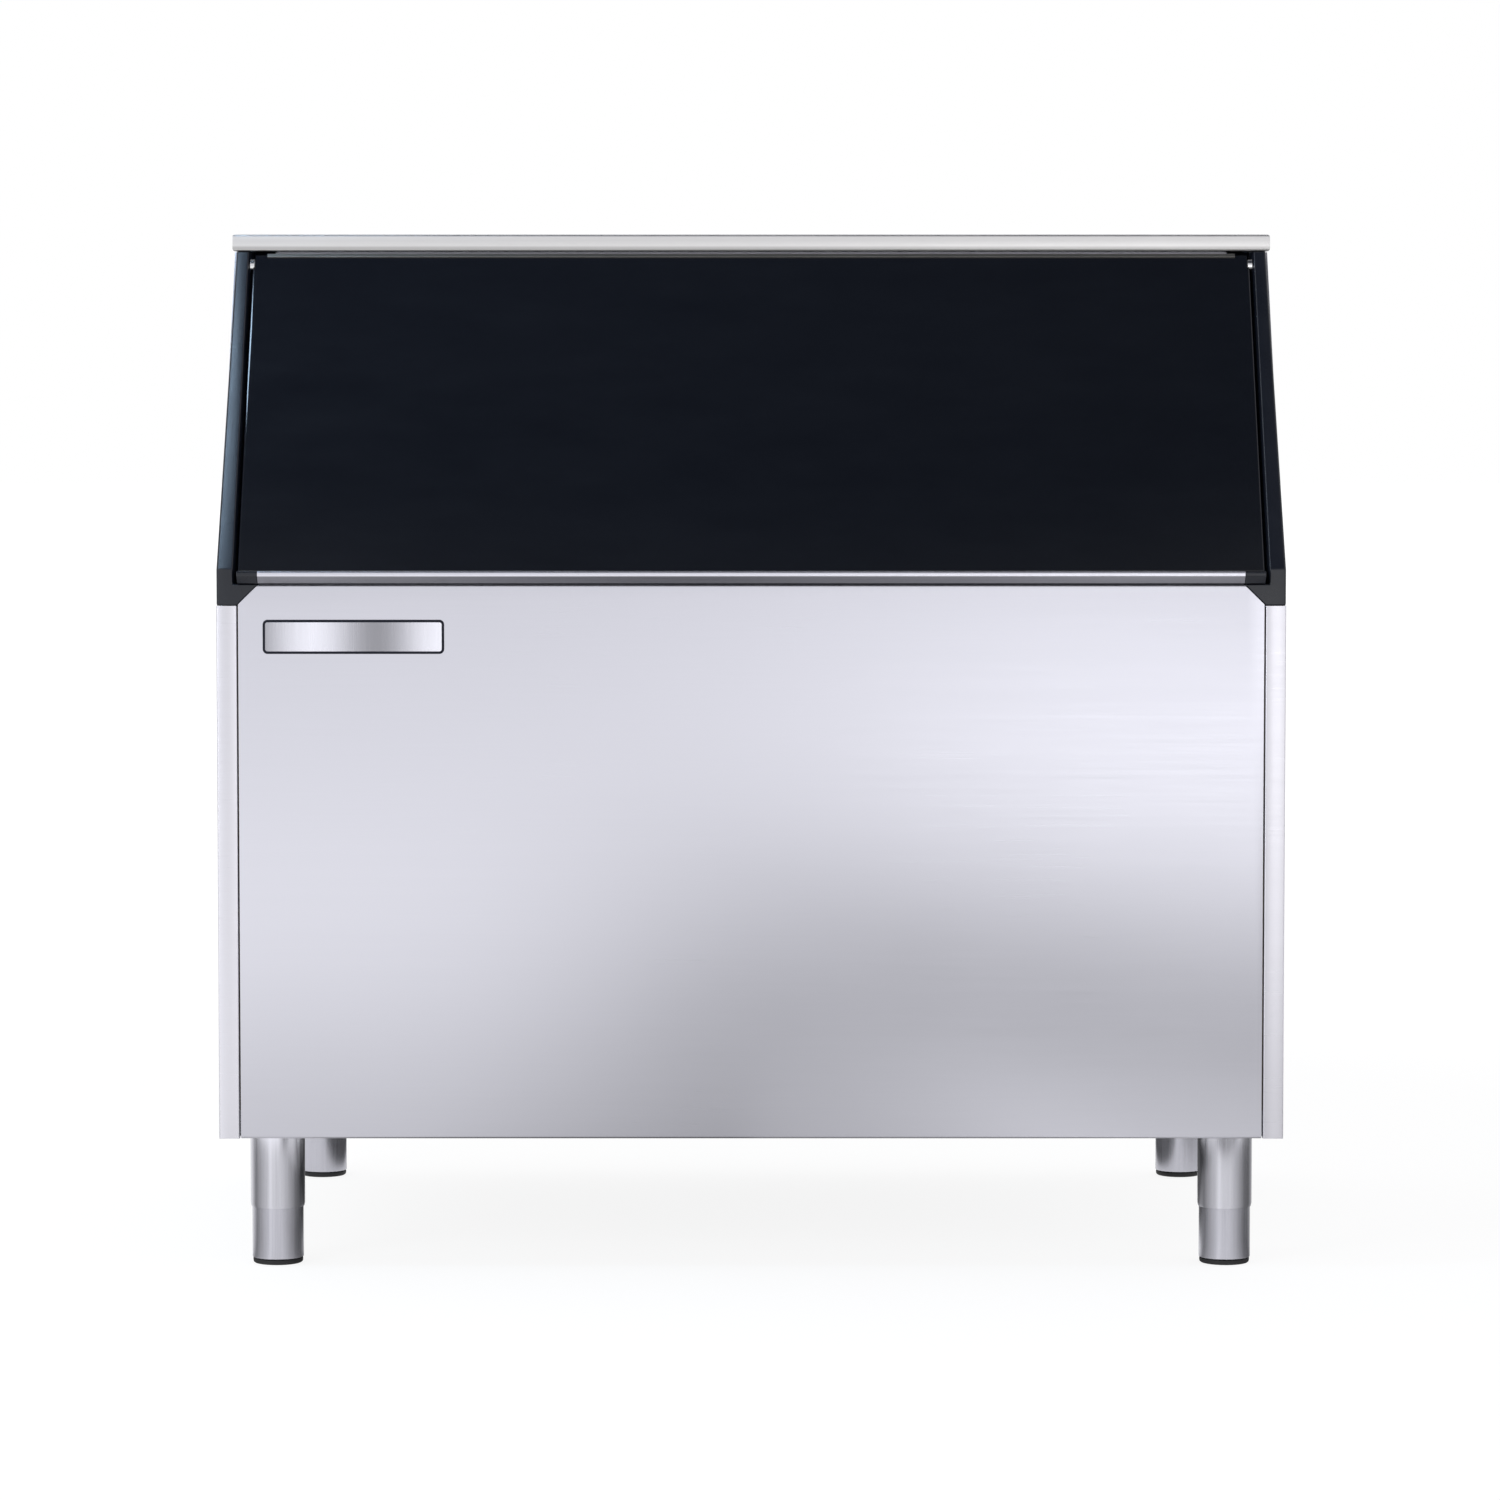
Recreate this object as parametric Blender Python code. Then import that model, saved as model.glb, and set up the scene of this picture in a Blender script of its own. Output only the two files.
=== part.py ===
"""Ice storage bin, 1.22 m wide, that a modular ice machine stands on.

A stainless cabinet on four adjustable legs holds an insulated plastic liner.  Its
upper front slopes back and carries a black lift-up door, hung on two pivot pins in
a black moulded frame.  Ice falls in through the open rim on top and is scooped out
through the door.

Lengths are in metres.  X is across, +Y is to the back, +Z is up, and the origin is
on the floor under the middle of the whole bin.  Places on the sloping front are
given as (depth, along): how far behind the slope's plane, and how far up it.
"""

import math

import bmesh
import bpy
from mathutils import Matrix, Vector

for leftover in list(bpy.data.objects):
    bpy.data.objects.remove(leftover)

# Cabinet
WIDTH = 1.220
DEPTH = 0.846
BODY_HEIGHT = 1.038
TOP_DEPTH = 0.606
FRONT_HEIGHT = 0.653
LEG_HEIGHT = 0.152
SHEET = 0.001
FOLD_RADIUS = 0.0012
FOLD_STEPS = 3

# Gaps between pieces
TOUCH = 0.0003
FIT_GAP = 0.0005
OVERRUN = 0.020
WELD = 0.000001

# Rim that frames the open top
RIM_HEIGHT = 0.020
RIM_BEYOND_FRAME = 0.010
RIM_HEM = 0.009
RIM_SHEET = 0.0012
RIM_FOLD_RADIUS = 0.0028
THROAT_SKIRT = 0.028

# Side and back panels
FLANGE_WIDTH = 0.0235
FLANGE_HEM = 0.011
REAR_FLANGE = 0.020
SLOPE_FLANGE_GAP = 0.001
BACK_INSET = 0.002
BACK_SIDE_GAP = 0.0015

# Front panel and the sill folded from its top edge
SEAM_GAP = 0.0015
FRONT_RETURN = 0.018
SIDE_RETURN = 0.012
DOOR_SILL_GAP = 0.0022
SILL_UPSTAND = 0.010
SILL_FOLD_RADIUS = 0.003
STIFFENER_RETURN = 0.012

# Black moulded frame down each side of the door
FRAME_WIDTH = 0.048
FRAME_FLOOR = 0.003
FRAME_INSET = 0.0005
FRAME_TAPER = 0.0045
FRAME_LEDGE = 0.029
FRAME_ROUND = 0.0025
FRAME_ROUND_STEPS = 4
BRACKET_DROP = 0.024
DRAFT = 0.004
DRAFT_DEPTH = 0.012

# Door
DOOR_SET_BACK = 0.002
DOOR_THICKNESS = 0.022
DOOR_SIDE_GAP = 0.0015
DOOR_TOP_GAP = 0.004
DOOR_FOOT_DROP = 0.002
DOOR_SHELL = 0.0025
DOOR_FOOT_WALL = 0.010
DOOR_ROUND = 0.0022
DOOR_ROUND_STEPS = 3
INNER_SKIN = 0.002
INNER_RAISE = 0.005
INNER_RAISE_MARGIN = 0.045
INNER_RAISE_SLANT = 0.006
TOP_STRIP = 0.001
TOP_STRIP_LIP = 0.004
TOP_STRIP_BACK = 0.014
TOP_STRIP_END_GAP = 0.014

# Handle rail along the door's lower edge
RAIL_PROUD = 0.014
RAIL_SHEET = 0.0012
RAIL_LIP_SHARE = 0.36
RAIL_BEND_SHARE = 0.32
RAIL_BEND_STEPS = 3
RAIL_SLANT_SHARE = 0.65
RAIL_WEB = 0.020
RAIL_END_CLEARANCE = 0.0235
RAIL_SILL_GAP = 0.001

# Door pivots
PIVOT_BELOW_RIM = 0.0165
PIVOT_DEPTH = 0.010
PIVOT_NOTCH = 0.003
PIVOT_NOTCH_BELOW = 0.010
PIVOT_BLOCK = 0.036
PIVOT_BLOCK_BELOW = 0.018
PIN_RADIUS = 0.004
PIN_REACH = 0.022
PIN_RUNNING_GAP = 0.00006
PIN_END_GAP = 0.0005
PIN_STEPS = 24
COLLAR_RADIUS = 0.0078
COLLAR_LENGTH = 0.0059
COLLAR_CHAMFER = 0.0008
SHANK_RADIUS = 0.003
SHANK_LENGTH = 0.010
BUSH_RADIUS = 0.0065
BUSH_LENGTH = 0.024
BUSH_HEAD_GAP = 0.0004

# Seal and bumpers that the closed door rests on
SEAL_WIDTH = 0.008
SEAL_SPACE = 0.004
SEAL_INSET = 0.002
SEAL_TOP_MARGIN = 0.040
SEAL_FOOT = 0.012
BUMPER_RADIUS = 0.004
BUMPER_GAP = 0.0015
BUMPER_UP = 0.026
BUMPER_STEPS = 16

# Insulated walls and liner
FOAM_FRONT = 0.0454
FOAM_FLOOR = 0.060
LINER = 0.003
LINER_UNDER_FRAME = 0.0017
LINER_UNDER_RIM = 0.0044
LINER_CORNER = 0.012
LINER_CORNER_STEPS = 3
LINER_CORNER_SHARE = 0.5
LINER_FLANGE_GAP = 0.0017
FLOOR_FALL = 0.012
FLOOR_FLAT = 0.120

# Header channel under the front of the rim, and the ice deflector that hangs from it
HEADER_CLEARANCE = 0.024
HEADER_DROP = 0.040
HEADER_SHEET = 0.0012
HEADER_LIP = 0.022
DEFLECTOR_SHEET = 0.002
DEFLECTOR_DROP = 0.145
DEFLECTOR_LEAN = 0.034
DEFLECTOR_TAIL = 0.010
DEFLECTOR_END_GAP = 0.015
DEFLECTOR_TOP_GAP = 0.002
THUMB_RADIUS = 0.009
THUMB_HEIGHT = 0.008
THUMB_CHAMFER = 0.001
THUMB_SHANK_RADIUS = 0.003
THUMB_SHANK = 0.010
THUMB_INSET = 0.225
THUMB_STEPS = 16

# Base pan and drain
PAN_SHEET = 0.0012
PAN_RIM = 0.030
DRAIN_FROM_WALL = 0.060
DRAIN_BORE_RADIUS = 0.012
DRAIN_BARREL_RADIUS = 0.016
DRAIN_FLANGE_RADIUS = 0.030
DRAIN_FLANGE = 0.004
DRAIN_CHAMFER = 0.0015
DRAIN_GASKET = 0.002
DRAIN_TAIL = 0.040
DRAIN_NUT_RADIUS = 0.026
DRAIN_NUT_HEIGHT = 0.011
DRAIN_NUT_SIDES = 6
DRAIN_STEPS = 24
STRAINER_RADIUS = 0.015
STRAINER = 0.0015
STRAINER_SEAT = 0.002
STRAINER_HOLE_RADIUS = 0.0022
STRAINER_HOLE_CIRCLE = 0.0080
STRAINER_HOLES = 6
STRAINER_HOLE_STEPS = 8

# Legs
LEG_INSET = 0.062
SLEEVE_RADIUS = 0.0315
SLEEVE_WALL = 0.0015
SLEEVE_LENGTH = 0.087
SLEEVE_LIP = 0.004
SLEEVE_LIP_TAPER = 0.0008
SLEEVE_TOP = 0.003
STUD_RADIUS = 0.006
STUD_LENGTH = 0.014
NUT_DISC_BELOW_TOP = 0.029
NUT_DISC = 0.006
FOOT_WALL = 0.0015
FOOT_OVERLAP = 0.034
FOOT_BOTTOM = 0.0025
FOOT_ROUND = 0.0015
STEM_RADIUS = 0.008
STEM_TOP_GAP = 0.020
STEM_GAP = 0.0004
PAD_HEIGHT = 0.0057
PAD_INSET = 0.0008
PAD_ROUND = 0.0032
PAD_ROUND_STEPS = 3
LEG_PLATE_SIDE = 0.060
LEG_PLATE = 0.005
LEG_STEPS = 28

# Screws
SCREW_RADIUS = 0.002
SCREW_HEAD_RADIUS = 0.004
SCREW_HEAD = 0.0016
SCREW_DOME_SHARE = 0.55
SCREW_STEPS = 10
RAIL_SCREW_MARGIN = 0.082
RAIL_SCREWS = 3
RAIL_SCREW_LENGTH = 0.009
FRAME_SCREWS = 2
FRAME_SCREW_MARGIN = 0.060
BACK_SCREW_ROWS = 2
BACK_SCREW_EDGE = 0.010
BACK_SCREW_MARGIN = 0.060

# Edges flatter than this are shaded smooth
SMOOTH_ANGLE = math.radians(35)

# Derived heights
UNDER = LEG_HEIGHT
TOP = UNDER + BODY_HEIGHT
RIM_UNDER = TOP - RIM_HEIGHT
SLOPE_FOOT = UNDER + FRONT_HEIGHT
PAN_BOTTOM = UNDER + SHEET + TOUCH
PAN_TOP = PAN_BOTTOM + PAN_SHEET
FLOOR = PAN_TOP + TOUCH + FOAM_FLOOR + TOUCH + LINER

# Derived places across
HALF = WIDTH / 2
PANEL_HALF = HALF - FLANGE_WIDTH - SEAM_GAP
FRAME_INNER = HALF - FRAME_WIDTH
RIM_WIDTH = FRAME_WIDTH + RIM_BEYOND_FRAME
FRAME_OUTER = HALF - FRAME_INSET
RECESS_SIDE = FRAME_INNER + FRAME_LEDGE
RECESS_WALL = RECESS_SIDE - DRAFT
DOOR_HALF = RECESS_WALL - DOOR_SIDE_GAP
RAIL_HALF = DOOR_HALF - RAIL_END_CLEARANCE
NOTCH_FACE = DOOR_HALF - PIVOT_NOTCH
CASING_HALF = HALF - SHEET - TOUCH
STORE_HALF = FRAME_INNER - LINER_UNDER_FRAME
DEFLECTOR_HALF = STORE_HALF - DEFLECTOR_END_GAP

# Derived places from front to back
FRONT = (RAIL_PROUD - DEPTH) / 2
BACK = FRONT + DEPTH
BACK_FACE = BACK - BACK_INSET
BACK_INNER = BACK_FACE - SHEET - TOUCH - SHEET
RIM_FRONT = BACK - TOP_DEPTH
THROAT_FRONT = RIM_FRONT + RIM_WIDTH
STORE_FRONT = FRONT + SHEET + TOUCH + FOAM_FRONT + LINER
STORE_BACK = BACK - RIM_WIDTH + LINER_UNDER_RIM
DRAIN_Y = STORE_BACK - DRAIN_FROM_WALL

# Derived places on the slope
SEAT_DEPTH = DOOR_SET_BACK + DOOR_THICKNESS + SEAL_SPACE
FRAME_DEPTH = SEAT_DEPTH + FRAME_FLOOR
SLOPE = math.atan2(RIM_FRONT - FRONT, RIM_UNDER - SLOPE_FOOT)
SLOPE_SIN = math.sin(SLOPE)
SLOPE_COS = math.cos(SLOPE)
ON_SLOPE = Matrix.Translation((0, FRONT, SLOPE_FOOT)) @ Matrix.Rotation(-SLOPE, 4, "X")
DOOR_FACE = DOOR_SET_BACK
DOOR_BACK = DOOR_FACE + DOOR_THICKNESS
DOOR_FOOT = -DOOR_FOOT_DROP
LINER_FRONT = FRAME_DEPTH + TOUCH
FOAM_SLOPE = LINER_FRONT + LINER + TOUCH
LINER_FLANGE_FOOT = (LINER_FRONT + LINER) * math.tan(SLOPE / 2) + LINER_FLANGE_GAP
SEAL_HALF = FRAME_INNER + SEAL_INSET + SEAL_WIDTH
SCREW_LINE = SEAL_HALF + BUMPER_GAP + BUMPER_RADIUS


def on_slope(depth, along):
    """(y, z) of a place on the slope."""
    y = FRONT + along * SLOPE_SIN + depth * SLOPE_COS
    z = SLOPE_FOOT + along * SLOPE_COS - depth * SLOPE_SIN
    return y, z


def from_slope(y, z):
    """(depth, along) of a (y, z) place."""
    depth = (y - FRONT) * SLOPE_COS - (z - SLOPE_FOOT) * SLOPE_SIN
    along = (y - FRONT) * SLOPE_SIN + (z - SLOPE_FOOT) * SLOPE_COS
    return depth, along


def along_at_height(depth, height):
    """How far up the slope the plane 'depth' behind it reaches a height."""
    return (height - SLOPE_FOOT + depth * SLOPE_SIN) / SLOPE_COS


def slope_at_height(depth, height):
    """(y, z) on the plane 'depth' behind the slope, at a height above the floor."""
    return on_slope(depth, along_at_height(depth, height))


def slope_at_y(depth, y):
    """(y, z) on the plane 'depth' behind the slope, at a place from front to back."""
    return on_slope(depth, (y - FRONT - depth * SLOPE_COS) / SLOPE_SIN)


def knee(depth):
    """(y, z) where the upright front and the slope meet, 'depth' behind both."""
    return FRONT + depth, SLOPE_FOOT - depth * math.tan(SLOPE / 2)


SILL = on_slope(DOOR_BACK, DOOR_FOOT)[1] - DOOR_SILL_GAP
BRACKET_BOTTOM = SILL - BRACKET_DROP
DOOR_TOP = along_at_height(DOOR_FACE, RIM_UNDER - DOOR_TOP_GAP)
RAIL_LOW = SILL + RAIL_SILL_GAP
RAIL_ALONG = DOOR_FOOT - TOUCH - RAIL_SHEET / 2
RAIL_LIP = RAIL_LIP_SHARE * (on_slope(0, RAIL_ALONG)[1] - RAIL_LOW)
RAIL_BEND = RAIL_BEND_SHARE * RAIL_LIP
RAIL_SLANT = RAIL_SLANT_SHARE * RAIL_PROUD
PIVOT_ALONG = along_at_height(PIVOT_DEPTH, RIM_UNDER - PIVOT_BELOW_RIM)
PIVOT_Y, PIVOT_Z = on_slope(PIVOT_DEPTH, PIVOT_ALONG)
IN_DOOR = Matrix.Translation((0, -PIVOT_DEPTH, -PIVOT_ALONG))
COLLAR_INNER = NOTCH_FACE + BUSH_HEAD_GAP
COLLAR_SEAT = COLLAR_INNER + COLLAR_LENGTH


# Outlines and bodies

def rounded(corners, radius, steps):
    """A line of points with an arc at each corner between its two ends."""
    points = [Vector(corners[0])]
    for before, corner, after in zip(corners, corners[1:], corners[2:]):
        come = (Vector(corner) - Vector(before)).normalized()
        go = (Vector(after) - Vector(corner)).normalized()
        turn = come.angle_signed(go)
        side = Vector((-come.y, come.x)) * math.copysign(1, -turn)
        centre = Vector(corner) - come * radius * math.tan(abs(turn) / 2) + side * radius
        for step in range(steps + 1):
            swing = Matrix.Rotation(-turn * step / steps, 2)
            points.append(centre - swing @ side * radius)
    points.append(Vector(corners[-1]))
    return points


def folded(path, sheet, bend, steps=FOLD_STEPS):
    """The outline of a folded sheet, from the line through the middle of its thickness."""
    line = rounded(path, bend, steps)
    ways = [(after - before).normalized() for before, after in zip(line, line[1:])]
    left, right = [], []
    for point, come, go in zip(line, ways[:1] + ways, ways + ways[-1:]):
        middle = (come + go).normalized()
        reach = sheet / 2 / middle.dot(go)
        normal = Vector((-middle.y, middle.x)) * reach
        left.append(point + normal)
        right.append(point - normal)
    return left + right[::-1]


def placed(axis, a, b, along):
    """A 3-D point from its place in an outline and its place along the outline's axis."""
    return {"X": (along, a, b), "Y": (a, along, b), "Z": (a, b, along)}[axis]


def prism(mesh, outline, axis, low, high):
    """Pushes a flat outline along an axis, which makes a closed body."""
    base = mesh.faces.new([mesh.verts.new(placed(axis, a, b, low)) for a, b in outline])
    pushed = bmesh.ops.extrude_face_region(mesh, geom=[base])["geom"]
    ends = [item for item in pushed if isinstance(item, bmesh.types.BMVert)]
    bmesh.ops.translate(mesh, verts=ends, vec=placed(axis, 0, 0, high - low))
    return [*base.verts, *ends]


def box(mesh, low, high):
    """A block between two opposite corners."""
    corners = [(low[0], low[1]), (high[0], low[1]), (high[0], high[1]), (low[0], high[1])]
    prism(mesh, corners, "Z", low[2], high[2])


def both_sides(low, high):
    """The (low, high) reach across on the right side, then its mirror on the left."""
    return (low, high), (-high, -low)


def turned(mesh, profile, steps, place=None):
    """Spins a (radius, height) profile about Z, then moves the body to its place."""
    lathe = bmesh.new()
    points = [lathe.verts.new((radius, 0, height)) for radius, height in profile]
    pairs = zip(points, points[1:] + points[:1])
    edges = [lathe.edges.new(pair) for pair in pairs if pair[0].co.x or pair[1].co.x]
    bmesh.ops.spin(
        lathe, geom=points + edges, axis=(0, 0, 1), angle=math.tau, steps=steps, use_merge=True
    )
    bmesh.ops.remove_doubles(lathe, verts=lathe.verts, dist=WELD)
    bmesh.ops.recalc_face_normals(lathe, faces=lathe.faces)
    bmesh.ops.transform(lathe, matrix=place or Matrix(), verts=lathe.verts)
    made = bpy.data.meshes.new("turned")
    lathe.to_mesh(made)
    lathe.free()
    mesh.from_mesh(made)
    bpy.data.meshes.remove(made)


def rod(mesh, radius, low, high, steps, place=None):
    """A plain round bar along Z, or along the axis that the matrix turns Z to."""
    turned(mesh, [(0, low), (radius, low), (radius, high), (0, high)], steps, place)


def facing(point, direction):
    """A matrix that moves a body to a point and aims its Z along a direction."""
    aim = Vector(direction).to_track_quat("Z", "Y").to_matrix().to_4x4()
    return Matrix.Translation(point) @ aim


def loft(mesh, rings):
    """Joins outlines of equal length with faces, and closes both ends."""
    rings = [[mesh.verts.new(point) for point in ring] for ring in rings]
    for lower, upper in zip(rings, rings[1:]):
        for index in range(len(lower)):
            after = (index + 1) % len(lower)
            mesh.faces.new([lower[index], lower[after], upper[after], upper[index]])
    mesh.faces.new(rings[0][::-1])
    mesh.faces.new(rings[-1])


def slope_ring(half, foot, top, depth, inset=0):
    """A rectangle on the slope, as (x, depth, along) points."""
    half, foot, top = half - inset, foot + inset, top - inset
    return [(-half, depth, foot), (half, depth, foot), (half, depth, top), (-half, depth, top)]


def front_sweep(mesh, section, bottom, top, taper=0):
    """Sweeps an (x, depth) section up the front: upright to the knee, then up the slope.

    The taper is how far the section's outer edge leans in at the top.
    """
    outer = max(abs(x) for x, _ in section)
    inner = min(abs(x) for x, _ in section)
    loft(mesh, [
        [(x, FRONT + depth, bottom) for x, depth in section],
        [(x, *knee(depth)) for x, depth in section],
        [(x * (1 - taper * (abs(x) - inner) / (outer - inner) / abs(x)), *slope_at_height(depth, top))
         for x, depth in section],
    ])


def picture_frame(mesh, section, half, low, high):
    """Sweeps an (inset, z) section round a rectangle, mitred at its corners."""
    corners = ((-1, low, 1), (1, low, 1), (1, high, -1), (-1, high, -1))
    rings = [
        [mesh.verts.new((side * (half - inset), edge + inwards * inset, z)) for inset, z in section]
        for side, edge, inwards in corners
    ]
    for lower, upper in zip(rings, rings[1:] + rings[:1]):
        for index in range(len(section)):
            after = (index + 1) % len(section)
            mesh.faces.new([lower[index], lower[after], upper[after], upper[index]])


def screw_body(mesh, place, length):
    """A domed screw whose head rests on the place, with its shank behind."""
    turned(mesh, [
        (0, SCREW_HEAD),
        (SCREW_HEAD_RADIUS * SCREW_DOME_SHARE, SCREW_HEAD),
        (SCREW_HEAD_RADIUS, SCREW_HEAD * SCREW_DOME_SHARE),
        (SCREW_HEAD_RADIUS, 0),
        (SCREW_RADIUS, 0),
        (SCREW_RADIUS, -length),
        (0, -length),
    ], SCREW_STEPS, place)


def screw_hole(mesh, place):
    """The clearance hole for a screw, long enough to pass its panels."""
    rod(mesh, SCREW_RADIUS + TOUCH, -OVERRUN, OVERRUN, SCREW_STEPS, place)


# Objects

def material(name, colour, roughness, metallic=0.0):
    """A Principled BSDF material."""
    made = bpy.data.materials.new(name)
    made.use_nodes = True
    shader = made.node_tree.nodes["Principled BSDF"]
    shader.inputs["Base Color"].default_value = (*colour, 1.0)
    shader.inputs["Roughness"].default_value = roughness
    shader.inputs["Metallic"].default_value = metallic
    made.diffuse_color = (*colour, 1.0)
    return made


def solid(name, mesh, finish, parent=None, place=None):
    """Turns a finished bmesh into a named object with one material."""
    bmesh.ops.recalc_face_normals(mesh, faces=mesh.faces)
    if place is not None:
        bmesh.ops.transform(mesh, matrix=place, verts=mesh.verts)
    data = bpy.data.meshes.new(name)
    mesh.to_mesh(data)
    mesh.free()
    data.materials.append(finish)
    data.shade_smooth()
    data.set_sharp_from_angle(angle=SMOOTH_ANGLE)
    made = bpy.data.objects.new(name, data)
    bpy.context.scene.collection.objects.link(made)
    made.parent = parent
    return made


def carve(target, name, mesh, operation="DIFFERENCE", place=None):
    """Cuts a body away from an object, or fuses it on, and hides it."""
    tool = solid(f"{target.name}_{name}", mesh, target.data.materials[0], target.parent, place)
    tool.hide_render = True
    tool.display_type = "WIRE"
    boolean = target.modifiers.new(name, "BOOLEAN")
    boolean.operation = operation
    boolean.object = tool
    boolean.use_self = True
    return target


def empty(name, location, turn=0):
    """An empty that moving pieces are parented to, on their joint's axis."""
    made = bpy.data.objects.new(name, None)
    bpy.context.scene.collection.objects.link(made)
    made.location = location
    made.rotation_euler.x = turn
    return made


# Places of what repeats

def leg_places():
    """Each leg's name and its (x, y) under the cabinet."""
    for row, y in (("front", FRONT + LEG_INSET), ("rear", BACK - LEG_INSET)):
        for hand, x in (("left", LEG_INSET - HALF), ("right", HALF - LEG_INSET)):
            yield f"{row}_{hand}", x, y


def back_screw_places():
    """Where the back panel's screws bear on it."""
    low = UNDER + BACK_SCREW_MARGIN
    pitch = (RIM_UNDER - BACK_SCREW_MARGIN - low) / (BACK_SCREW_ROWS - 1)
    for row in range(BACK_SCREW_ROWS):
        for side in (-1, 1):
            point = (side * (HALF - BACK_SCREW_EDGE), BACK_FACE + TOUCH, low + pitch * row)
            yield facing(point, (0, 1, 0))


def frame_screw_places():
    """Where the door frame's screws bear on its seat, as (x, depth, along)."""
    low = LINER_FLANGE_FOOT + FRAME_SCREW_MARGIN
    pitch = (DOOR_TOP - FRAME_SCREW_MARGIN - low) / (FRAME_SCREWS - 1)
    for row in range(FRAME_SCREWS):
        for side in (-1, 1):
            point = (side * SCREW_LINE, SEAT_DEPTH - TOUCH, low + pitch * row)
            yield facing(point, (0, -1, 0))


def rail_screw_places():
    """Where the handle rail's screws bear on its web, as (x, depth, along)."""
    bearing = DOOR_FOOT - TOUCH - RAIL_SHEET - TOUCH
    reach = RAIL_HALF - RAIL_SCREW_MARGIN
    for number in range(RAIL_SCREWS):
        x = reach * (2 * number / (RAIL_SCREWS - 1) - 1)
        yield facing((x, DOOR_FACE + DOOR_THICKNESS / 2, bearing), (0, 0, -1))


def thumb_places():
    """Where the deflector's thumbscrews bear on it."""
    height = RIM_UNDER - HEADER_DROP + HEADER_LIP / 2
    bearing = THROAT_FRONT - RIM_SHEET + TOUCH + DEFLECTOR_SHEET + TOUCH
    for side in (-1, 1):
        yield facing((side * (DEFLECTOR_HALF - THUMB_INSET), bearing, height), (0, 1, 0))


# Casing

def make_side_panel(hand, side):
    """A side sheet folded round onto the front and the back, cut away for the door frame."""
    mid = SHEET / 2
    rear = BACK_FACE - SHEET - TOUCH - mid
    outline = folded([
        (HALF - FLANGE_WIDTH + mid, FRONT + FLANGE_HEM),
        (HALF - FLANGE_WIDTH + mid, FRONT + mid),
        (HALF - mid, FRONT + mid),
        (HALF - mid, rear),
        (HALF - REAR_FLANGE, rear),
    ], SHEET, FOLD_RADIUS)
    mesh = bmesh.new()
    prism(mesh, [(x * side, y) for x, y in outline], "Z", UNDER, RIM_UNDER - TOUCH)
    panel = solid(f"side_panel_{hand}", mesh, STAINLESS)

    behind = FRAME_DEPTH + FIT_GAP
    ahead = FRONT - OVERRUN
    above = TOP + OVERRUN
    cut = bmesh.new()
    prism(cut, [
        (ahead, BRACKET_BOTTOM - FIT_GAP),
        (FRONT + behind, BRACKET_BOTTOM - FIT_GAP),
        knee(behind),
        slope_at_height(behind, above),
        (ahead, above),
    ], "X", -HALF - OVERRUN, HALF + OVERRUN)
    carve(panel, "frame_cut", cut)

    fold = bmesh.new()
    edges = (RECESS_SIDE + SLOPE_FLANGE_GAP, HALF - mid)
    depths = (behind, behind, behind + SHEET, behind + SHEET)
    section = [(x * side, depth) for x, depth in zip(edges + edges[::-1], depths)]
    front_sweep(fold, section, BRACKET_BOTTOM, RIM_UNDER - TOUCH)
    carve(panel, "slope_fold", fold, "UNION")
    holes = bmesh.new()
    for place in back_screw_places():
        screw_hole(holes, place)
    return carve(panel, "screw_holes", holes)


def make_front_panel():
    """The front sheet, returned at the bottom and sides, and folded back as the sill on top."""
    mid = SHEET / 2
    upright = SEAT_DEPTH + mid
    path = [
        (FRONT + FRONT_RETURN, UNDER + mid),
        (FRONT + mid, UNDER + mid),
        (FRONT + mid, SILL - mid),
        (FRONT + upright, SILL - mid),
        knee(upright),
        on_slope(upright, SEAL_FOOT + SEAL_WIDTH + SILL_UPSTAND),
    ]
    mesh = bmesh.new()
    prism(mesh, folded(path, SHEET, SILL_FOLD_RADIUS), "X", -PANEL_HALF, PANEL_HALF)
    panel = solid("front_panel", mesh, STAINLESS)

    returns = bmesh.new()
    for low, high in both_sides(PANEL_HALF - SHEET, PANEL_HALF):
        box(returns, (low, FRONT + mid, UNDER + mid), (high, FRONT + SIDE_RETURN, BRACKET_BOTTOM))
    carve(panel, "returns", returns, "UNION")

    corners = bmesh.new()
    inner = FRAME_INNER - FIT_GAP
    for side in (-1, 1):
        prism(corners, [
            (side * inner, SILL),
            (side * (HALF - FLANGE_WIDTH - FIT_GAP), BRACKET_BOTTOM),
            (side * (HALF + OVERRUN), BRACKET_BOTTOM),
            (side * (HALF + OVERRUN), TOP),
            (side * inner, TOP),
        ], "Y", FRONT - OVERRUN, FRONT + FRAME_DEPTH + OVERRUN)
    return carve(panel, "corners", corners)


def make_sill_stiffener():
    """A folded strip that backs the sill and its upstand."""
    sheet = FRAME_DEPTH - SEAT_DEPTH - SHEET - TOUCH
    depth = SEAT_DEPTH + SHEET + TOUCH + sheet / 2
    shelf = SILL - SHEET - TOUCH - sheet / 2
    mesh = bmesh.new()
    prism(mesh, folded([
        (FRONT + depth - STIFFENER_RETURN, shelf),
        (FRONT + depth, shelf),
        knee(depth),
        on_slope(depth, SEAL_FOOT + SEAL_WIDTH + SILL_UPSTAND),
    ], sheet, SILL_FOLD_RADIUS), "X", FIT_GAP - FRAME_INNER, FRAME_INNER - FIT_GAP)
    return solid("sill_stiffener", mesh, ZINC)


def make_back_panel():
    mesh = bmesh.new()
    edge = HALF - BACK_SIDE_GAP
    box(mesh, (-edge, BACK_FACE - SHEET, UNDER), (edge, BACK_FACE, RIM_UNDER - TOUCH))
    panel = solid("back_panel", mesh, ZINC)
    holes = bmesh.new()
    for place in back_screw_places():
        screw_hole(holes, place)
    return carve(panel, "screw_holes", holes)


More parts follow.
